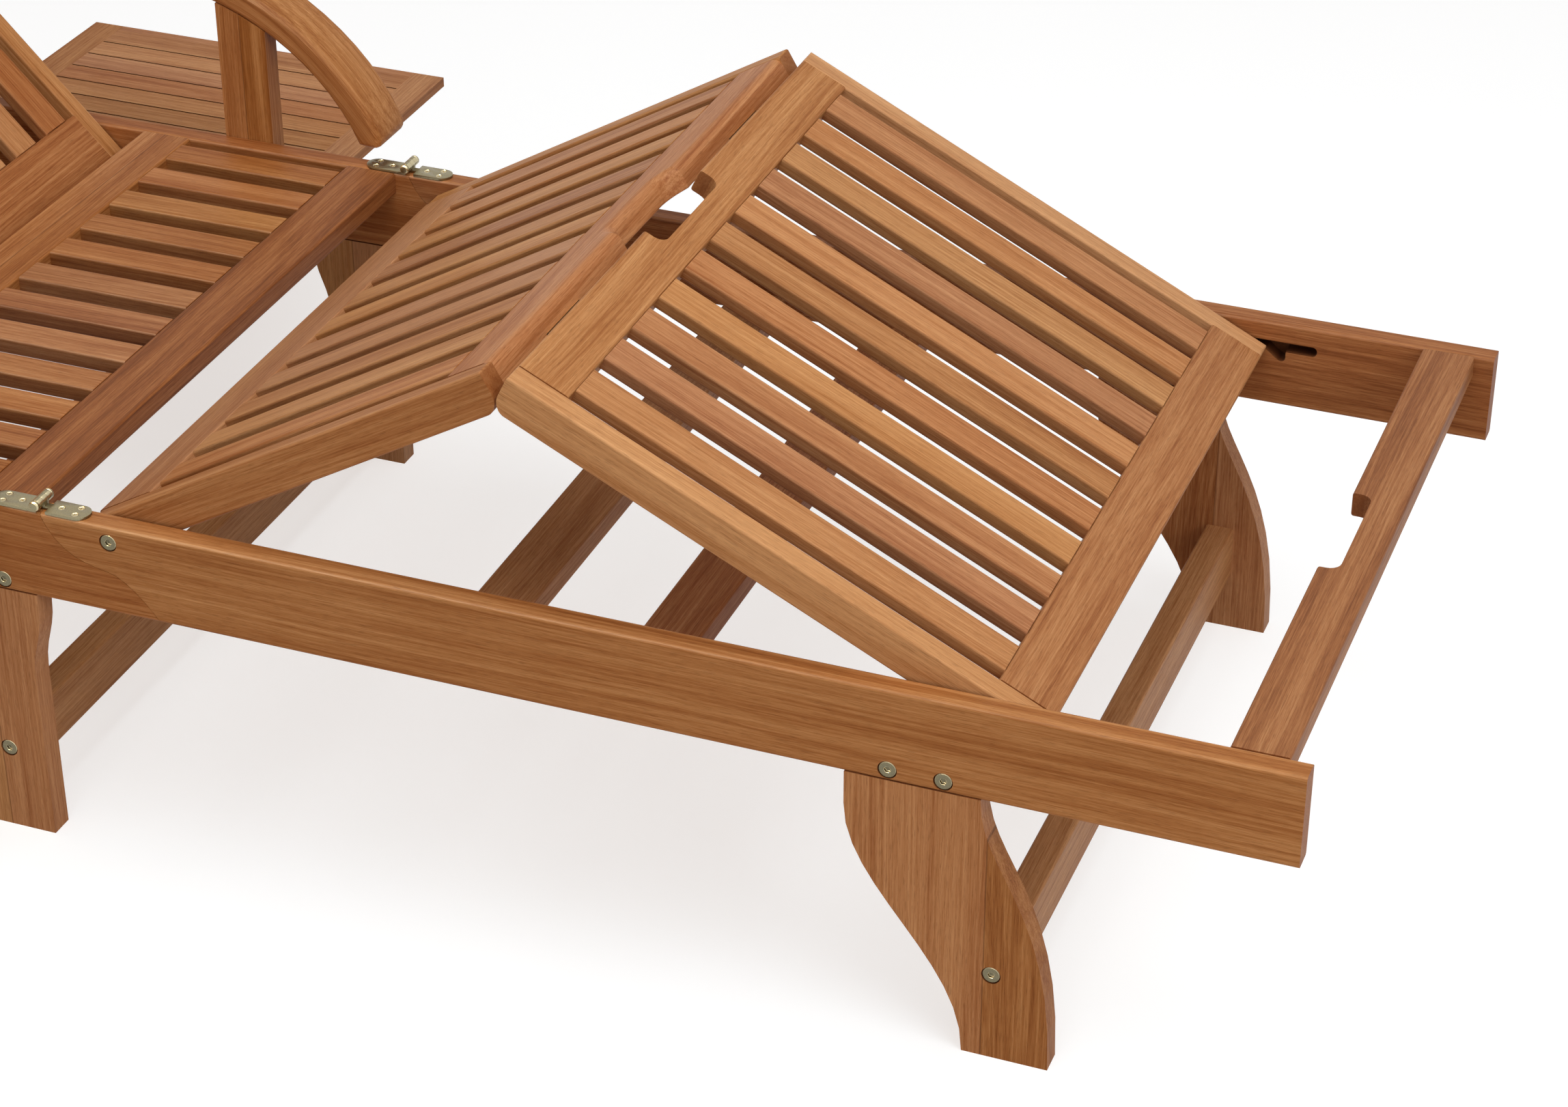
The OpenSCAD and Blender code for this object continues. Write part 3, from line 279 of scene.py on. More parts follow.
@dataclass(frozen=True)
class OiledHardwood:
    """Reddish-brown hardwood with an oiled, satin surface."""

    deep: Colour = (0.105, 0.031, 0.010)
    brown: Colour = (0.240, 0.074, 0.022)
    warm: Colour = (0.400, 0.163, 0.060)
    light: Colour = (0.620, 0.325, 0.148)
    # Colour of the pores and glue lines, also used for the painted shade in the hollows
    pore_and_shade: Colour = (0.070, 0.019, 0.006)
    end_grain: Colour = (0.220, 0.062, 0.016)
    roughness: float = 0.47
    specular: float = 0.12
    relief: float = 0.0003
    relief_share: float = 0.16
    pore_share: float = 0.32
    pore_span: tuple[float, float] = (0.56, 0.66)
    end_share: float = 0.55
    end_span: tuple[float, float] = (0.80, 0.97)
    seam_share: float = 0.55
    seam_span: tuple[float, float] = (0.0002, 0.0007)
    # Reach and range of the ambient occlusion that paints shade into the hollows
    shade_paint_reach: float = 0.030
    shade_paint_span: tuple[float, float] = (0.36, 0.94)
    hue_span: tuple[float, float] = (0.497, 0.504)
    saturation_span: tuple[float, float] = (1.06, 0.98)
    board_shift: Point = (7.0, 1.7, 1.3)
    bow_power: float = 2.2

    def dress(self, board: Board) -> None:
        """Gives a board's node its material."""
        paint(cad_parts[board.node], self.material(board))

    def material(self, board: Board) -> bpy.types.Material:
        """Builds the wood of one board.

        Args:
            board: The board and how its grain lies.

        Returns:
            The material.
        """
        g = Graph(bpy.data.materials.new(f"hardwood_{board.node}"))
        place = g.coordinates()
        index = self.board_index(g, place, board)
        chance = g.node("ShaderNodeTexWhiteNoise", {"W": index}, noise_dimensions="1D")
        turn = [math.radians(a) for a in board.run.value]
        turn[1] += math.radians(board.tilt)
        straight = self.straightened(g, place, board.bow) if board.bow else place
        along = g.node("ShaderNodeMapping", {"Vector": straight, "Rotation": turn}).outputs[0]
        shifted = g.scaled_sum(chance.outputs["Color"], self.board_shift, along)
        figure, fibres, pores = self.grain(g, shifted, board.flame)
        tone = g.span(chance.outputs["Value"], 0.0, 1.0, -board.spread / 2, board.spread / 2)
        level = g.total([(figure, 1.0), (tone, 1.0)], board.tone)
        colour = g.ramp(level, [(0.05, self.deep), (0.95, self.light), (0.32, self.brown), (0.60, self.warm)])
        colour = self.mixed(g, g.math("MULTIPLY", pores, self.pore_share), colour, self.pore_and_shade)
        colour = self.hue_of_board(g, chance, colour)
        colour = self.seams(g, place, board, colour)
        if not board.bow:
            colour = self.darker_ends(g, turn, colour)
        # Painted shade: the hollows between the piece's own boards are darkened
        colour = self.paint_hollow_shade(g, colour)
        shader = g.node(
            "ShaderNodeBsdfPrincipled",
            {
                "Base Color": colour,
                "Roughness": g.span(fibres, 0.3, 0.7, self.roughness + 0.08, self.roughness - 0.05),
                "IOR": 1.45,
                "Specular IOR Level": self.specular,
                "Normal": g.bump(fibres, self.relief_share, self.relief),
            },
        )
        return g.finish(shader)

    @staticmethod
    def mixed(g: Graph, factor: object, colour: object, other: Colour) -> bpy.types.NodeSocket:
        """Mixes a colour towards another."""
        inputs = {"Factor": factor, 6: colour, 7: (*other, 1.0)}
        return g.node("ShaderNodeMix", inputs, data_type="RGBA").outputs[2]

    def straightened(self, g: Graph, place: object, bow: Point) -> bpy.types.NodeSocket:
        """Lifts the bowed end of a board's pattern, so that its grain follows the bow.

        Args:
            g: The material's graph.
            place: Socket of the point on the object.
            bow: Where the bow starts along the chair, its length and its drop.

        Returns:
            The socket of the lifted point.
        """
        start, length, drop = bow
        x, y, z = g.parts(place)
        part = g.math("MAXIMUM", g.math("DIVIDE", g.math("SUBTRACT", x, start), length), 0.0)
        lift = g.math("MULTIPLY", g.math("POWER", part, self.bow_power), drop)
        return g.node("ShaderNodeCombineXYZ", {0: x, 1: y, 2: g.math("ADD", z, lift)}).outputs[0]

    def paint_hollow_shade(self, g: Graph, colour: object) -> bpy.types.NodeSocket:
        """Paints shade into the hollows between a piece's own boards, darkening the colour by ambient
        occlusion.

        Args:
            g: The material's graph.
            colour: Socket of the colour.

        Returns:
            The socket of the colour with the shade painted into its hollows.
        """
        reach = {"Distance": self.shade_paint_reach}
        # Painted shade: ambient occlusion darkens the colour where the piece shades itself
        hollow = g.node("ShaderNodeAmbientOcclusion", reach, samples=4, only_local=True).outputs["AO"]
        return self.mixed(g, g.span(hollow, *self.shade_paint_span, 1.0, 0.0), colour, self.pore_and_shade)

    def darker_ends(self, g: Graph, turn: Sequence[float], colour: object) -> bpy.types.NodeSocket:
        """Darkens the faces that lie across the grain.

        Args:
            g: The material's graph.
            turn: Angles that bring the grain to X.
            colour: Socket of the colour.

        Returns:
            The socket of the colour with its darker ends.
        """
        facing = {"Vector": g.coordinates("Normal"), "Rotation": turn}
        turned = g.node("ShaderNodeMapping", facing, vector_type="VECTOR").outputs[0]
        end = g.math("ABSOLUTE", g.parts(turned)[0])
        return self.mixed(g, g.span(end, *self.end_span, 0.0, self.end_share), colour, self.end_grain)

    def seams(self, g: Graph, place: object, board: Board, colour: object) -> bpy.types.NodeSocket:
        """Draws the fine glue lines between a board's staves.

        Args:
            g: The material's graph.
            place: Socket of the point on the object.
            board: The node's boards.
            colour: Socket of the colour.

        Returns:
            The socket of the colour with its glue lines.
        """
        for cut in board.cuts:
            away = g.math("ABSOLUTE", g.math("SUBTRACT", g.parts(place)[board.row.value], cut))
            colour = self.mixed(g, g.span(away, *self.seam_span, self.seam_share, 0.0), colour, self.pore_and_shade)
        return colour

    def hue_of_board(self, g: Graph, chance: bpy.types.Node, colour: object) -> bpy.types.NodeSocket:
        """Turns each board's colour a little towards yellow or red.

        Args:
            g: The material's graph.
            chance: The noise that is fixed for each board.
            colour: Socket of the colour.

        Returns:
            The socket of the turned colour.
        """
        channels = g.node("ShaderNodeSeparateColor", {0: chance.outputs["Color"]}).outputs
        hue = g.span(channels[1], 0.0, 1.0, *self.hue_span)
        saturation = g.span(channels[2], 0.0, 1.0, *self.saturation_span)
        inputs = {"Color": colour, "Hue": hue, "Saturation": saturation}
        return g.node("ShaderNodeHueSaturation", inputs).outputs[0]

    @staticmethod
    def board_index(g: Graph, place: bpy.types.NodeSocket, board: Board) -> bpy.types.NodeSocket:
        """Numbers the boards or staves of a node, each with its own part of the grain.

        Args:
            g: The material's graph.
            place: Socket of the point on the object.
            board: The node's boards.

        Returns:
            The socket of the number, with the node's own seed added.
        """
        value = g.parts(place)[board.row.value]
        if board.pitch:
            steps = g.math("DIVIDE", g.math("SUBTRACT", value, board.start), board.pitch)
            return g.math("ADD", g.math("FLOOR", steps), board.seed)
        number = g.math("ADD", board.seed, 0.0)
        for cut in board.cuts:
            number = g.math("ADD", number, g.math("GREATER_THAN", value, cut))
        return number

    def grain(self, g: Graph, point: object, flame: float) -> tuple[bpy.types.NodeSocket, ...]:
        """Builds the figure, the fine fibres and the pores along X.

        Args:
            g: The material's graph.
            point: Socket of the point, with the grain along X.
            flame: How far the growth layers rise and fall along the board, in metres.

        Returns:
            Sockets of the figure, the fibres and the pores.
        """
        bent = g.drifted(g.drifted(point, (1.2, 4.0, 4.0), 0.020), (7.0, 26.0, 26.0), 0.0018)
        hill = g.drawn_noise(bent, 0.9, 11.0, 1.0)
        _, y, z = g.parts(bent)
        depth = g.total([(hill, flame), (y, 0.70), (z, 0.85)])
        layers = g.layers(depth, 110.0, 5.0, 0.65)
        bands = g.drawn_noise(bent, 1.1, 46.0, 3.0, 0.55)
        streaks = g.drawn_noise(bent, 7.0, 520.0, 4.0, 0.65)
        fibres = g.drawn_noise(bent, 36.0, 1700.0, 3.0, 0.65)
        mottle = g.drawn_noise(bent, 9.0, 60.0, 2.0)
        vessels = g.drawn_noise(bent, 95.0, 2400.0, 2.0)
        weights = [(layers, 0.48), (bands, 0.46), (streaks, 0.72), (fibres, 0.50), (mottle, 0.12)]
        return g.total(weights, -0.55), fibres, g.span(vessels, *self.pore_span, 0.0, 1.0)


@dataclass(frozen=True)
class DulledBrass:
    """Pale brass that has dulled to an olive grey; its brighter copy on slanted edges is partly wear from
    rubbing, partly a painted highlight.
    """

    colour: Colour = (0.320, 0.275, 0.168)
    shade: Colour = (0.205, 0.178, 0.108)
    roughness: float = 0.30
    relief: float = 0.0002
    relief_share: float = 0.10

    def material(self, name: str) -> bpy.types.Material:
        """Builds the metal.

        Args:
            name: Name of the material.

        Returns:
            The material.
        """
        g = Graph(bpy.data.materials.new(name))
        place = g.coordinates()
        cloud = g.noise(place, 700.0, 3.0, 0.6)
        brushed = g.drawn_noise(place, 300.0, 2600.0, 3.0, 0.6)
        level = g.total([(cloud, 0.8), (brushed, 0.25)], -0.02)
        colour = g.ramp(level, [(0.36, self.shade), (0.64, self.colour)])
        shader = g.node(
            "ShaderNodeBsdfPrincipled",
            {
                "Base Color": colour,
                "Metallic": 1.0,
                "Roughness": g.span(level, 0.3, 0.7, self.roughness + 0.08, self.roughness - 0.05),
                "Normal": g.bump(brushed, self.relief_share, self.relief),
            },
        )
        return g.finish(shader)


BOLT_BRASS = DulledBrass(colour=(0.200, 0.175, 0.110), shade=(0.140, 0.122, 0.076), roughness=0.36)
# Brighter brass for the screws and for slanted edges, where it is partly wear from rubbing and partly a
# painted highlight
WORN_AND_SHEEN_BRASS = DulledBrass(colour=(0.620, 0.540, 0.345), shade=(0.420, 0.360, 0.220), roughness=0.28)


def paint(piece: bpy.types.Object, material: bpy.types.Material) -> None:
    """Puts one material on every slot of a piece.

    Args:
        piece: The object.
        material: Its material.
    """
    if not piece.material_slots:
        piece.data.materials.append(material)
    for slot in piece.material_slots:
        slot.material = material


def select_only(piece: bpy.types.Object) -> None:
    """Selects one piece and makes it the active one.

    Args:
        piece: The object.
    """
    bpy.ops.object.select_all(action="DESELECT")
    piece.select_set(True)
    bpy.context.view_layer.objects.active = piece


def settle(piece: bpy.types.Object) -> None:
    """Moves a piece's place, turn and scale into its mesh."""
    select_only(piece)
    bpy.ops.object.transform_apply(location=True, rotation=True, scale=True)


def add_block(name: str, low: Sequence[float], high: Sequence[float]) -> bpy.types.Object:
    """Adds a block between two corners.

    Args:
        name: Name of the piece.
        low: Its lowest corner.
        high: Its highest corner.

    Returns:
        The new piece.
    """
    bpy.ops.object.select_all(action="DESELECT")
    bpy.ops.mesh.primitive_cube_add(size=1.0, location=[(a + b) / 2 for a, b in zip(low, high)])
    piece = bpy.context.object
    piece.name = name
    piece.scale = [b - a for a, b in zip(low, high)]
    settle(piece)
    return piece


def apply_modifier(piece: bpy.types.Object, kind: str, **settings: object) -> None:
    """Adds a modifier and applies it.

    Args:
        piece: The object.
        kind: Type name of the modifier.
        **settings: Properties of the modifier.
    """
    modifier = piece.modifiers.new(kind.lower(), kind)
    for key, value in settings.items():
        setattr(modifier, key, value)
    select_only(piece)
    bpy.ops.object.modifier_apply(modifier=modifier.name)


def cut_away(piece: bpy.types.Object, cutter: bpy.types.Object) -> None:
    """Cuts one shape out of a piece and removes the cutter."""
    apply_modifier(piece, "BOOLEAN", operation="DIFFERENCE", solver="EXACT", object=cutter)
    bpy.data.objects.remove(cutter, do_unlink=True)


def clear_selection(piece: bpy.types.Object, kind: str) -> None:
    """Deselects a piece's whole mesh.

    Args:
        piece: The object.
        kind: What is selected in it next, EDGE or FACE.
    """
    select_only(piece)
    bpy.ops.object.mode_set(mode="EDIT")
    bpy.ops.mesh.select_mode(type=kind)
    bpy.ops.mesh.select_all(action="DESELECT")
    bpy.ops.object.mode_set(mode="OBJECT")


def round_edges(
    piece: bpy.types.Object, chosen: Callable[[Vector, Vector], bool], width: float, segments: int
) -> None:
    """Rounds the edges that a test chooses by their two ends.

    Args:
        piece: The object.
        chosen: Test of an edge's ends.
        width: Width of the rounding.
        segments: Steps across it.
    """
    clear_selection(piece, "EDGE")
    mesh = piece.data
    for edge in mesh.edges:
        edge.select = chosen(*(mesh.vertices[i].co for i in edge.vertices))
    bpy.ops.object.mode_set(mode="EDIT")
    bpy.ops.mesh.bevel(
        offset=width,
        offset_type="OFFSET",
        segments=segments,
        profile=0.5,
        affect="EDGES",
        clamp_overlap=False,
    )
    bpy.ops.object.mode_set(mode="OBJECT")


def merged_copy(node: str, ending: str) -> bpy.types.Object:
    """Copies a solid's mesh and joins its loose triangles into whole faces.

    Args:
        node: Name of the solid's node.
        ending: What follows the node's name in the copy's.

    Returns:
        The copy.
    """
    piece = bpy.data.objects.new(f"{node}_{ending}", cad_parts[node].data.copy())
    bpy.context.scene.collection.objects.link(piece)
    select_only(piece)
    bpy.ops.object.mode_set(mode="EDIT")
    bpy.ops.mesh.select_all(action="SELECT")
    bpy.ops.mesh.remove_doubles(threshold=1e-6)
    bpy.ops.mesh.dissolve_limited(angle_limit=math.radians(1.0))
    bpy.ops.mesh.normals_make_consistent(inside=False)
    bpy.ops.object.mode_set(mode="OBJECT")
    return piece


def eased_copy(
    node: str, body: str, width: float, axis: int, metals: Sequence[bpy.types.Material]
) -> bpy.types.Object:
    """Puts a copy of a solid with broken edges in its place.

    Args:
        node: Name of the solid's node.
        body: The body on which it rides.
        width: Width of the broken edges.
        axis: Number of the axis to which the edges are slanted.
        metals: Material of its faces, and the brighter one of its slanted edges, partly wear from rubbing and
            partly a painted highlight.

    Returns:
        The copy.
    """
    piece = merged_copy(node, "eased")
    edges = {"limit_method": "ANGLE", "angle_limit": math.radians(BROKEN)}
    apply_modifier(piece, "BEVEL", width=width, segments=2, **edges)
    bpy.ops.object.shade_smooth_by_angle(angle=math.radians(35.0))
    paint(piece, metals[0])
    piece.data.materials.append(metals[1])
    # Slanted edge faces take the brighter brass: wear from rubbing and a painted highlight
    for face in piece.data.polygons:
        face.material_index = int(SLANTED[0] < abs(face.normal[axis]) < SLANTED[1])
    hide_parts(node)
    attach(piece, body)
    return piece


def crisp_copy(node: str, body: str, crease: float) -> bpy.types.Object:
    """Puts a copy of a solid in its place, smooth but for its creases.

    Args:
        node: Name of the solid's node.
        body: The body on which it rides.
        crease: Angle in degrees past which an edge is sharp.

    Returns:
        The copy.
    """
    piece = merged_copy(node, "crisp")
    bpy.ops.object.shade_smooth_by_angle(angle=math.radians(crease))
    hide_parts(node)
    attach(piece, body)
    return piece


@dataclass
class SideFrames:
    """The side rails of both halves and the bars between them."""

    wood: OiledHardwood
    cross_pitch: float = 0.144
    cross_start: float = 0.29

    def dress(self) -> None:
        """Gives the rails and bars their wood."""
        cross_boards = Board("cross_boards", Run.ACROSS, 17.0, row=Axis.X, tone=-0.03)
        boards = [
            Board("seat_rail_near", Run.LENGTHWISE, 11.0, tone=-0.03),
            Board("seat_rail_far", Run.LENGTHWISE, 12.0, tone=-0.03),
            Board("foot_rail_near", Run.LENGTHWISE, 13.0, tone=-0.03),
            Board("foot_rail_far", Run.LENGTHWISE, 14.0, tone=-0.17),
            Board("foot_cross_rail", Run.ACROSS, 15.0, tone=-0.24),
            Board("head_cross_rail", Run.ACROSS, 16.0),
            replace(cross_boards, pitch=self.cross_pitch, start=self.cross_start),
        ]
        for board in boards:
            self.wood.dress(board)


@dataclass
class Legs:
    """Six legs and their three stretchers."""

    wood: OiledHardwood
    foot_joint: float = 0.780
    head_joint: float = -0.780
    mid_joint: float = -0.0825

    def dress(self) -> None:
        """Gives the legs their glued staves, and the stretchers their wood."""
        for side, seed, tone in (("near", 353.0, 0.0), ("far", 24.0, -0.06)):
            foot = self.leg(f"foot_leg_{side}", seed, self.foot_joint, tone)
            self.wood.dress(replace(foot, spread=0.20, flame=0.32))
            self.wood.dress(self.leg(f"head_leg_{side}", seed + 30, self.head_joint, 0.0))
            self.wood.dress(self.leg(f"mid_leg_{side}", seed + 60, self.mid_joint, 0.15))
        for node, seed in (("foot_stretcher", 27.0), ("mid_stretcher", 28.0), ("head_stretcher", 29.0)):
            self.wood.dress(Board(node, Run.ACROSS, seed, tone=0.10))

    @staticmethod
    def leg(node: str, seed: float, joint: float, tone: float) -> Board:
        """Describes a leg of two upright staves."""
        return Board(node, Run.UPRIGHT, seed, row=Axis.X, cuts=(joint,), tone=tone)


@dataclass
class SeatDeck:
    """The seat's two bars and the slats between them."""

    wood: OiledHardwood
    slat_pitch: float = 0.05345
    slat_count: int = 12
    rear_joint: float = -0.278

    def dress(self) -> None:
        """Gives the bars and slats their wood."""
        start = MIDDLE_Y - self.slat_pitch * self.slat_count / 2
        self.wood.dress(Board("seat_front_bar", Run.ACROSS, 31.0, tone=-0.27))
        rear_bar = Board("seat_rear_bar", Run.ACROSS, 32.0, row=Axis.X, tone=-0.06)
        self.wood.dress(replace(rear_bar, cuts=(self.rear_joint,)))
        slats = Board("seat_slats", Run.LENGTHWISE, 33.0, pitch=self.slat_pitch, start=start, tone=-0.05)
        self.wood.dress(slats)


@dataclass
class SlattedPanel:
    """A tilted panel of two stiles, two rails and a row of slats."""

    wood: OiledHardwood
    name: str
    rails: tuple[str, ...]
    tilt: float
    seed: float
    tone: float = 0.0
    stile_tone: float = 0.0
    rail_tone: float = 0.0
    slat_pitch: float = 0.054
    slat_count: int = 11

    def dress(self) -> None:
        """Gives the panel's pieces their wood."""
        start = MIDDLE_Y - self.slat_pitch * self.slat_count / 2
        slats = Board(f"{self.name}_slats", Run.LENGTHWISE, self.seed + 8, tilt=self.tilt, tone=self.tone)
        for i, side in enumerate(("near", "far")):
            stile = replace(slats, node=f"{self.name}_stile_{side}", seed=self.seed + i)
            self.wood.dress(replace(stile, tone=self.tone + self.stile_tone))
        for i, rail in enumerate(self.rails):
            tone = self.tone + self.rail_tone
            self.wood.dress(Board(f"{self.name}_{rail}", Run.ACROSS, self.seed + 4 + i, tone=tone))
        self.wood.dress(replace(slats, pitch=self.slat_pitch, start=start))


@dataclass
class KneeEdgeRail:
    """The thigh panel's knee rail: its soft edge follows the dip for the hand."""

    wood: OiledHardwood
    pivot: tuple[float, float] = (0.043, 0.3045)
    tilt: float = 30.0
    start: float = 0.3375
    end: float = 0.3825
    half: float = 0.301
    low: float = -0.0065
    high: float = 0.0155
    edge: float = 0.009
    seam: float = 0.0025
    lip: float = 0.001
    dip_depth: float = 0.016
    dip_outer: float = 0.064
    dip_inner: float = 0.050
    dip_corner: float = 0.012
    dip_reach: float = 0.030
    corner_steps: int = 7
    edge_steps: int = 8
    seam_steps: int = 3
    lip_steps: int = 2
    smooth: float = 14.0
    hinge_y: float = 0.190
    hinge_x: float = 0.38375
    barrel_room: float = 0.004
    barrel_len: float = 0.062

    def dress(self) -> None:
        """Builds the rail in place of its plain solid and gives it its wood."""
        low, high = (self.start, -self.half, self.low), (self.end, self.half, self.high)
        rail = add_block("thigh_knee_rail_shaped", low, high)
        cut_away(rail, self.dip_cutter())
        self.soften(rail)
        for side in (-1.0, 1.0):
            cut_away(rail, self.barrel_cutter(side * self.hinge_y))
        place = Matrix.Translation((self.pivot[0], MIDDLE_Y, self.pivot[1]))
        rail.matrix_world = place @ Matrix.Rotation(-math.radians(self.tilt), 4, "Y")
        settle(rail)
        bpy.ops.object.shade_smooth_by_angle(angle=math.radians(self.smooth))
        paint(rail, self.wood.material(Board("thigh_knee_rail", Run.ACROSS, 45.0, tone=0.02)))
        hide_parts("thigh_knee_rail")
        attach(rail, "thigh_panel")

    def dip_cutter(self) -> bpy.types.Object:
        """Models the shape of the dip, with slanted ends and soft inner corners.

        Returns:
            The cutter.
        """
        depth, outer, reach = self.dip_depth, 2 * self.dip_outer - self.dip_inner, self.dip_reach
        cutter = add_block("dip", (self.end - depth, -outer, -reach), (self.end + depth, outer, reach))
        for vertex in cutter.data.vertices:
            vertex.select = vertex.co.x < self.end
        for part in (*cutter.data.edges, *cutter.data.polygons):
            part.select = all(cutter.data.vertices[i].select for i in part.vertices)
        bpy.ops.object.mode_set(mode="EDIT")
        bpy.ops.transform.resize(value=(1.0, self.dip_inner / outer, 1.0))
        bpy.ops.object.mode_set(mode="OBJECT")
        inner = self.end - depth + NEAR

        def corner(a: Vector, b: Vector) -> bool:
            """Tells whether an edge is one of the two upright ones at the bottom."""
            return max(a.x, b.x) < inner and abs(a.z - b.z) > reach

        round_edges(cutter, corner, self.dip_corner, self.corner_steps)
        return cutter

    def soften(self, rail: bpy.types.Object) -> None:
        """Rounds the knee edge along the dip, and eases the other long edges.

        Args:
            rail: The rail, flat as in its own plane.
        """
        top, bottom, back = self.high - NEAR, self.low + NEAR, self.start + NEAR
        past_seam = self.start + 2 * self.seam

        def knee(a: Vector, b: Vector) -> bool:
            """Tells whether an edge lies on the top, apart from the slats' side."""
            return min(a.z, b.z) > top and min(a.x, b.x) > back

        def slat_side(a: Vector, b: Vector) -> bool:
            """Tells whether an edge runs along the slats' side."""
            return max(a.x, b.x) < back and abs(a.y - b.y) > self.half

        def underside(a: Vector, b: Vector) -> bool:
            """Tells whether an edge lies on the underside, apart from the slats' side."""
            return max(a.z, b.z) < bottom and min(a.x, b.x) > past_seam

        round_edges(rail, knee, self.edge, self.edge_steps)
        round_edges(rail, slat_side, self.seam, self.seam_steps)
        round_edges(rail, underside, self.lip, self.lip_steps)

    def barrel_cutter(self, y: float) -> bpy.types.Object:
        """Models the room for a hinge barrel in the rail's lower corner.

        Args:
            y: Middle of the hinge across the chair.

        Returns:
            The cutter.
        """
        bpy.ops.object.select_all(action="DESELECT")
        bpy.ops.mesh.primitive_cylinder_add(
            vertices=32,
            radius=self.barrel_room,
            depth=self.barrel_len,
            location=(self.hinge_x, y, self.low),
            rotation=(math.radians(90.0), 0.0, 0.0),
        )
        cutter = bpy.context.object
        settle(cutter)
        return cutter


@dataclass
class BackProp:
    """The backrest's prop."""

    wood: OiledHardwood
    tilt: float = 44.858
    strut_pitch: float = 0.4
    strut_start: float = -0.55

    def dress(self) -> None:
        """Gives the struts and their bar their wood."""
        struts = Board("prop_struts", Run.LENGTHWISE, 71.0, tilt=self.tilt)
        self.wood.dress(replace(struts, pitch=self.strut_pitch, start=self.strut_start))
        self.wood.dress(Board("prop_cross_bar", Run.ACROSS, 73.0))


@dataclass
class Armrests:
    """Two curved armrests on their posts."""

    wood: OiledHardwood
    post_joint: float = -0.199
    crease: float = 17.0
    bow: Point = (-0.285, 0.228, 0.149)

    def dress(self) -> None:
        """Smooths the armrests and gives them and their posts their wood."""
        for side, seed in (("near", 81.0), ("far", 84.0)):
            rest = crisp_copy(f"armrest_{side}", "seat_frame", self.crease)
            board = Board(f"armrest_{side}", Run.LENGTHWISE, seed, tone=-0.09, bow=self.bow)
            paint(rest, self.wood.material(board))
            post = Board(f"front_arm_post_{side}", Run.UPRIGHT, seed + 10, row=Axis.X, tone=-0.07)
            self.wood.dress(replace(post, cuts=(self.post_joint,)))
            self.wood.dress(Board(f"rear_arm_post_{side}", Run.UPRIGHT, seed + 20))


@dataclass
class SideTray:
    """The sliding tray and its runners."""

    wood: OiledHardwood
    board_pitch: float = 0.0328
    edge_width: float = 0.0427
    slit: float = 0.002
    far_edge: float = 0.55795
    depth: float = 0.5466
    end_pitch: float = 0.3
    end_start: float = -0.7

    def dress(self) -> None:
        """Gives the tray's boards and the runners their wood."""
        start = self.far_edge - self.depth + self.edge_width + self.slit / 2 - 4 * self.board_pitch
        self.wood.dress(Board("tray_boards", Run.LENGTHWISE, 91.0, pitch=self.board_pitch, start=start))
        ends = Board("tray_end_boards", Run.ACROSS, 97.0, row=Axis.X)
        ends = replace(ends, pitch=self.end_pitch, start=self.end_start)
        self.wood.dress(ends)
        self.wood.dress(replace(ends, node="tray_runners", seed=98.0, tone=-0.05))


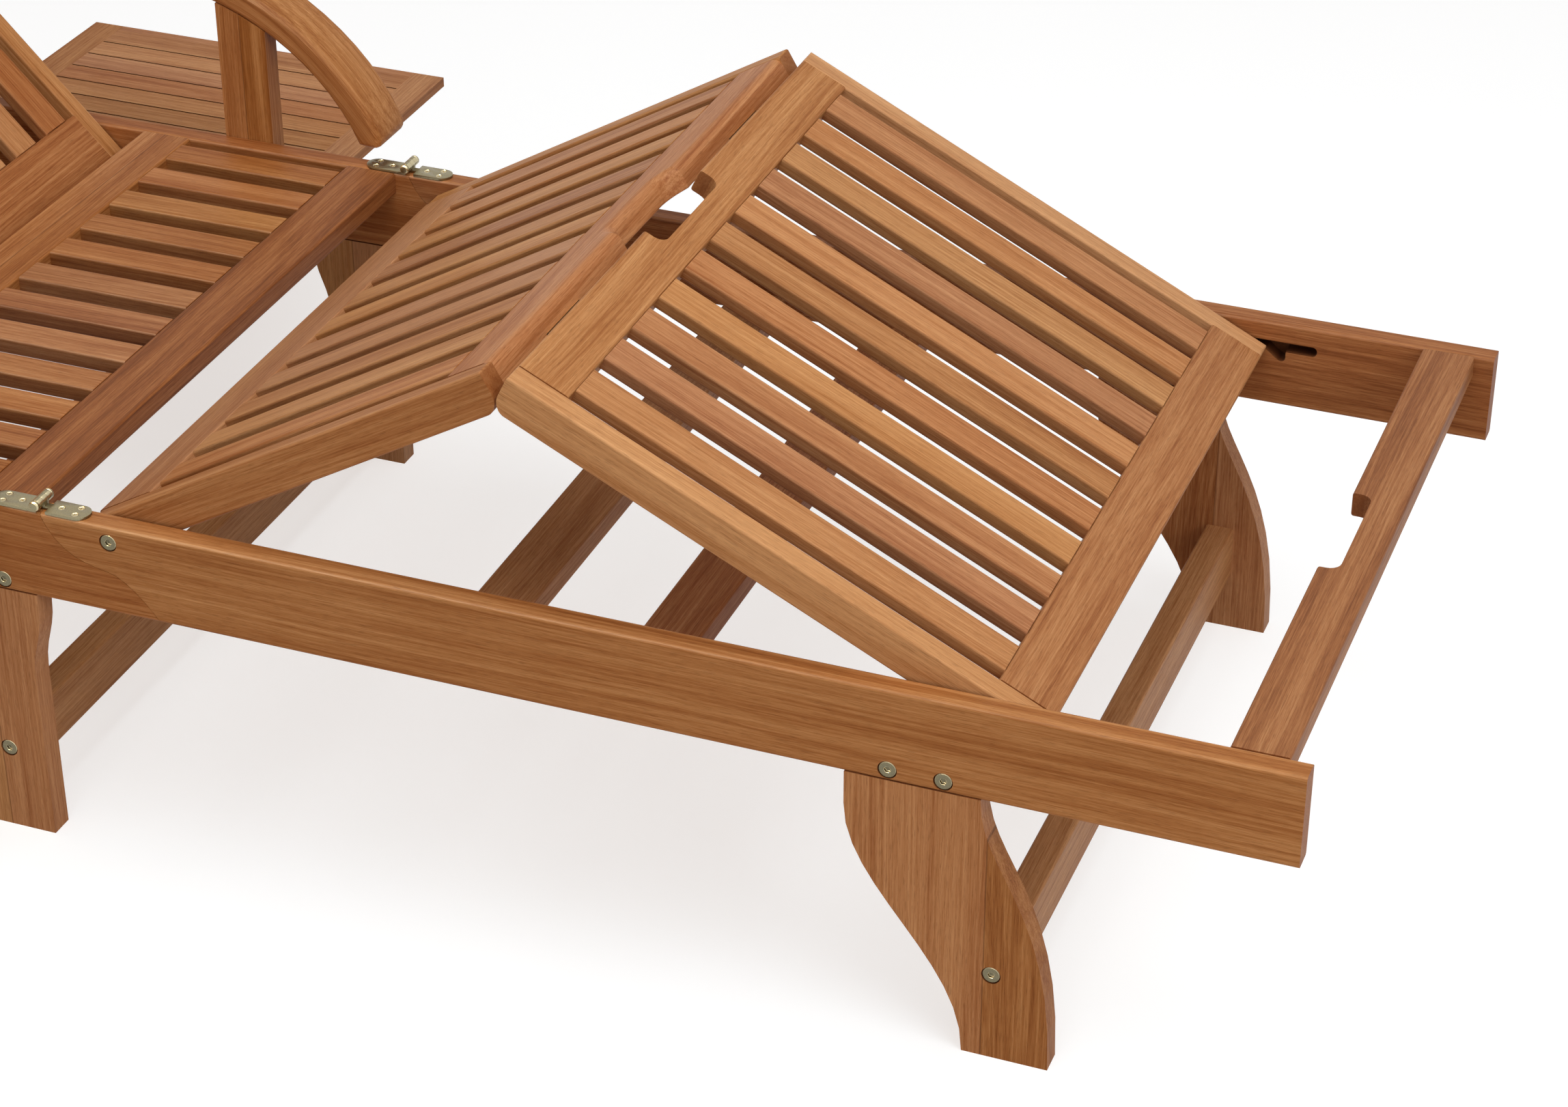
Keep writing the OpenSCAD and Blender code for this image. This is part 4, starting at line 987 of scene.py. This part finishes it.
@dataclass
class HingeScrews:
    """Countersunk screws of the strap hinges, with cross recesses."""

    brass: DulledBrass
    fold_x: float = -0.021
    leaf_y: float = 0.3345
    top: float = 0.3214
    places: tuple[tuple[float, float], ...] = ((0.033, 0.0052), (0.033, -0.0052), (0.018, 0.0))
    head: float = 0.0028
    neck: float = 0.0016
    depth: float = 0.0025
    slot_long: float = 0.0019
    slot_half: float = 0.00036
    slot_depth: float = 0.0009
    rim: float = 0.000448
    rim_drop: float = 0.00025
    crown: float = 0.000616
    crown_rise: float = 0.00012
    slot_turns: tuple[float, float] = (20.0, 110.0)
    turn_step: float = 25.0
    turn_across: float = 40.0
    crease: float = 30.0

    def dress(self) -> None:
        """Models one screw and sets its copies into both halves' leaves."""
        metal = self.brass.material("screw_brass")
        model = self.one_screw()
        for side, half, body in ((-1.0, "seat", "seat_frame"), (1.0, "foot", "foot_frame")):
            screws = self.copies(model, side)
            screws.name = f"{half}_hinge_screws_shaped"
            paint(screws, metal)
            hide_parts(f"{half}_hinge_screws")
            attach(screws, body)
        bpy.data.objects.remove(model, do_unlink=True)

    def one_screw(self) -> bpy.types.Object:
        """Models a screw at the origin, its head upwards.

        Returns:
            The screw.
        """
        bpy.ops.object.select_all(action="DESELECT")
        bpy.ops.mesh.primitive_cone_add(
            vertices=32,
            radius1=self.neck,
            radius2=self.head,
            depth=self.depth,
            location=(0.0, 0.0, -self.depth / 2),
        )
        screw = bpy.context.object
        settle(screw)
        clear_selection(screw, "FACE")
        for face in screw.data.polygons:
            face.select = face.normal.z > SLANTED[1]
        bpy.ops.object.mode_set(mode="EDIT")
        for width, rise in ((self.rim, -self.rim_drop), (self.crown, self.crown_rise)):
            bpy.ops.mesh.inset(thickness=width)
            bpy.ops.transform.translate(value=(0.0, 0.0, rise))
        bpy.ops.object.mode_set(mode="OBJECT")
        long, half, depth = self.slot_long, self.slot_half, self.slot_depth
        for turn in self.slot_turns:
            bar = add_block("recess", (-long, -half, -depth), (long, half, 0.001))
            bar.rotation_euler = (0.0, 0.0, math.radians(turn))
            settle(bar)
            cut_away(screw, bar)
        select_only(screw)
        bpy.ops.object.shade_smooth_by_angle(angle=math.radians(self.crease))
        return screw

    def copies(self, model: bpy.types.Object, side: float) -> bpy.types.Object:
        """Sets copies of the screw into one half's two leaves.

        Args:
            model: The screw at the origin.
            side: 1 towards the foot end, -1 towards the head end.

        Returns:
            The screws as one piece.
        """
        made = []
        for across in (-self.leaf_y, self.leaf_y):
            for i, (x, y) in enumerate(self.places):
                copy = bpy.data.objects.new("screw", model.data.copy())
                bpy.context.scene.collection.objects.link(copy)
                place = Matrix.Translation((self.fold_x + side * x, MIDDLE_Y + across + y, self.top))
                turn = math.radians(self.turn_step * i + self.turn_across * across)
                copy.matrix_world = place @ Matrix.Rotation(turn, 4, "Z")
                made.append(copy)
        bpy.ops.object.select_all(action="DESELECT")
        for copy in made:
            copy.select_set(True)
        bpy.context.view_layer.objects.active = made[0]
        bpy.ops.object.join()
        settle(made[0])
        return made[0]


@dataclass
class Fittings:
    """Bolts, pins and hinges."""

    brass: DulledBrass
    # Brighter brass of the slanted edges: wear from rubbing and a painted highlight
    worn_and_sheen: DulledBrass
    bolts: DulledBrass
    eased: tuple[tuple[str, str, float, int], ...] = (
        ("seat_frame_bolts", "seat_frame", 0.00022, 1),
        ("back_pivot_bolts", "seat_frame", 0.00022, 1),
        ("foot_frame_bolts", "foot_frame", 0.00022, 1),
        ("thigh_pivot_bolts", "foot_frame", 0.00022, 1),
        ("seat_hinge_leaves", "seat_frame", 0.00055, 2),
        ("foot_hinge_leaves", "foot_frame", 0.00055, 2),
        ("fold_hinge_pins", "seat_frame", 0.0004, 1),
    )
    plain: tuple[str, ...] = (
        "thigh_hinge_leaves",
        "knee_hinge_pins",
        "calf_hinge_leaves",
        "calf_guide_pins",
        "prop_pivot_pins",
        "prop_guide_pins",
    )

    def dress(self) -> None:
        """Breaks the edges of the metal that shows, and gives all of it its brass."""
        metals = (self.brass.material("dulled_brass"), self.worn_and_sheen.material("worn_and_sheen_brass"))
        bolt_metals = (self.bolts.material("bolt_brass"), metals[1])
        for node, body, width, axis in self.eased:
            eased_copy(node, body, width, axis, bolt_metals if node.endswith("bolts") else metals)
        for node in self.plain:
            paint(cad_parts[node], metals[0])


@dataclass(frozen=True)
class Lamp:
    """A square soft lamp.

    Attributes:
        name: Name of the lamp.
        at: Where it stands.
        to: The point that it faces.
        size: Length of its side.
        power: Its power in watts.
        colour: Colour of its light.
        lights: Whether it lights surfaces, and doesn't only shine in them.
    """

    name: str
    at: Point
    to: Point
    size: float
    power: float
    colour: Colour = (1.0, 1.0, 1.0)
    lights: bool = True

    def hang(self) -> None:
        """Sets up the lamp."""
        data = bpy.data.lights.new(self.name, "AREA")
        data.shape = "SQUARE"
        data.size = self.size
        data.energy = self.power
        data.color = self.colour
        lamp = bpy.data.objects.new(self.name, data)
        aim = (Vector(self.at) - Vector(self.to)).to_track_quat("Z", "Y")
        lamp.matrix_world = Matrix.Translation(self.at) @ aim.to_matrix().to_4x4()
        lamp.visible_diffuse = self.lights
        bpy.context.scene.collection.objects.link(lamp)


@dataclass
class Studio:
    """Floor, light and camera."""

    eye: Point = (1.41124, -2.58356, 1.77952)
    azimuth: float = 20.858
    elevation: float = 31.381
    focal_px: float = 5249.29
    width_px: float = 2296.0
    sensor: float = 36.0
    view_end: float = 60.0
    floor_side: float = 40.0
    floor_plain: Colour = (0.52, 0.43, 0.36)
    floor_shown: Colour = (0.42, 0.47, 0.50)
    floor_glow: Colour = (1.0, 0.945, 0.910)
    glow_strength: float = 0.682
    shadow_end: float = 1.9
    bare_from: float = 3.2
    dome_strength: float = 0.41
    lamps: tuple[Lamp, ...] = (
        Lamp("overhead", (0.7, -0.6, 3.5), (0.3, 0.0, 0.2), 2.6, 72.0),
        Lamp("side", (3.4, -1.8, 2.3), (0.3, 0.0, 0.25), 2.0, 45.0),
        Lamp("front", (0.6, -4.1, 1.2), (0.2, 0.0, 0.25), 2.0, 17.0),
        Lamp("gloss", (-0.9, -1.9, 3.0), (0.3, 0.0, 0.3), 1.2, 480.0, (1.0, 0.80, 0.58), lights=False),
    )

    def build(self) -> None:
        """Sets up the camera, the floor and the lights."""
        self.place_camera()
        self.lay_floor()
        self.light_dome()
        for lamp in self.lamps:
            lamp.hang()

    def place_camera(self) -> None:
        """Puts the camera at the photograph's own angle."""
        az, el = math.radians(self.azimuth), math.radians(self.elevation)
        back = Vector((math.sin(az) * math.cos(el), -math.cos(az) * math.cos(el), math.sin(el)))
        data = bpy.data.cameras.new("camera")
        data.sensor_fit = "HORIZONTAL"
        data.sensor_width = self.sensor
        data.lens = self.focal_px / self.width_px * self.sensor
        data.clip_end = self.view_end
        camera = bpy.data.objects.new("camera", data)
        camera.matrix_world = Matrix.Translation(self.eye) @ back.to_track_quat("Z", "Y").to_matrix().to_4x4()
        bpy.context.scene.collection.objects.link(camera)
        bpy.context.scene.camera = camera

    def lay_floor(self) -> None:
        """Lays a wide pale floor that shows white and keeps the chair's shadow."""
        bpy.ops.object.select_all(action="DESELECT")
        bpy.ops.mesh.primitive_plane_add(size=self.floor_side, location=(0.0, 0.0, 0.0))
        floor = bpy.context.object
        floor.name = "floor"
        g = Graph(bpy.data.materials.new("pale_floor"))
        plain = g.node("ShaderNodeBsdfDiffuse", {"Color": (*self.floor_plain, 1.0)})
        shown = g.node("ShaderNodeBsdfDiffuse", {"Color": (*self.floor_shown, 1.0)})
        glow = {"Color": (*self.floor_glow, 1.0), "Strength": self.glow_strength}
        glowing = g.node("ShaderNodeEmission", glow)
        near = g.node("ShaderNodeAddShader", {0: shown.outputs[0], 1: glowing.outputs[0]})
        bare = g.node("ShaderNodeEmission", {"Color": (1.0, 1.0, 1.0, 1.0), "Strength": 1.0})
        away = g.node("ShaderNodeVectorMath", {0: g.coordinates()}, operation="LENGTH").outputs["Value"]
        fade = g.span(away, self.shadow_end, self.bare_from, 0.0, 1.0)
        seen = g.any_ray("Is Camera Ray", "Is Glossy Ray", "Is Transmission Ray")
        paint(floor, g.finish(g.blend(seen, plain, g.blend(fade, near, bare))))

    def light_dome(self) -> None:
        """Lights the chair with a soft dome that shows white behind it."""
        g = Graph(bpy.data.worlds.new("studio"))
        dome = g.node("ShaderNodeBackground", {"Strength": self.dome_strength})
        white = g.node("ShaderNodeBackground", {"Color": (1.0, 1.0, 1.0, 1.0)})
        seen = g.any_ray("Is Camera Ray", "Is Glossy Ray")
        bpy.context.scene.world = g.finish(g.blend(seen, dome, white))


def main() -> None:
    """Builds the studio and the chair's sub-assemblies in order."""
    logging.basicConfig(level=logging.INFO, format="%(message)s")
    bpy.context.scene.view_settings.view_transform = "Standard"
    Studio().build()
    wood = OiledHardwood()
    parts = [
        SideFrames(wood),
        Legs(wood),
        SeatDeck(wood),
        SlattedPanel(wood, "thigh", ("knee_rail", "pivot_rail"), tilt=30.0, seed=41.0, tone=0.06),
        SlattedPanel(
            wood,
            "calf",
            ("knee_rail", "foot_rail"),
            tilt=-26.406,
            seed=51.0,
            tone=0.09,
            stile_tone=0.19,
            rail_tone=-0.05,
        ),
        SlattedPanel(wood, "back", ("pivot_rail", "top_rail"), tilt=-45.9, seed=61.0, rail_tone=-0.14),
        BackProp(wood),
        Armrests(wood),
        SideTray(wood),
        KneeEdgeRail(wood),
        Fittings(DulledBrass(), WORN_AND_SHEEN_BRASS, BOLT_BRASS),
        HingeScrews(WORN_AND_SHEEN_BRASS),
    ]
    for part in parts:
        part.dress()
        LOG.info("dressed %s", type(part).__name__)


if __name__ == "__main__":
    main()
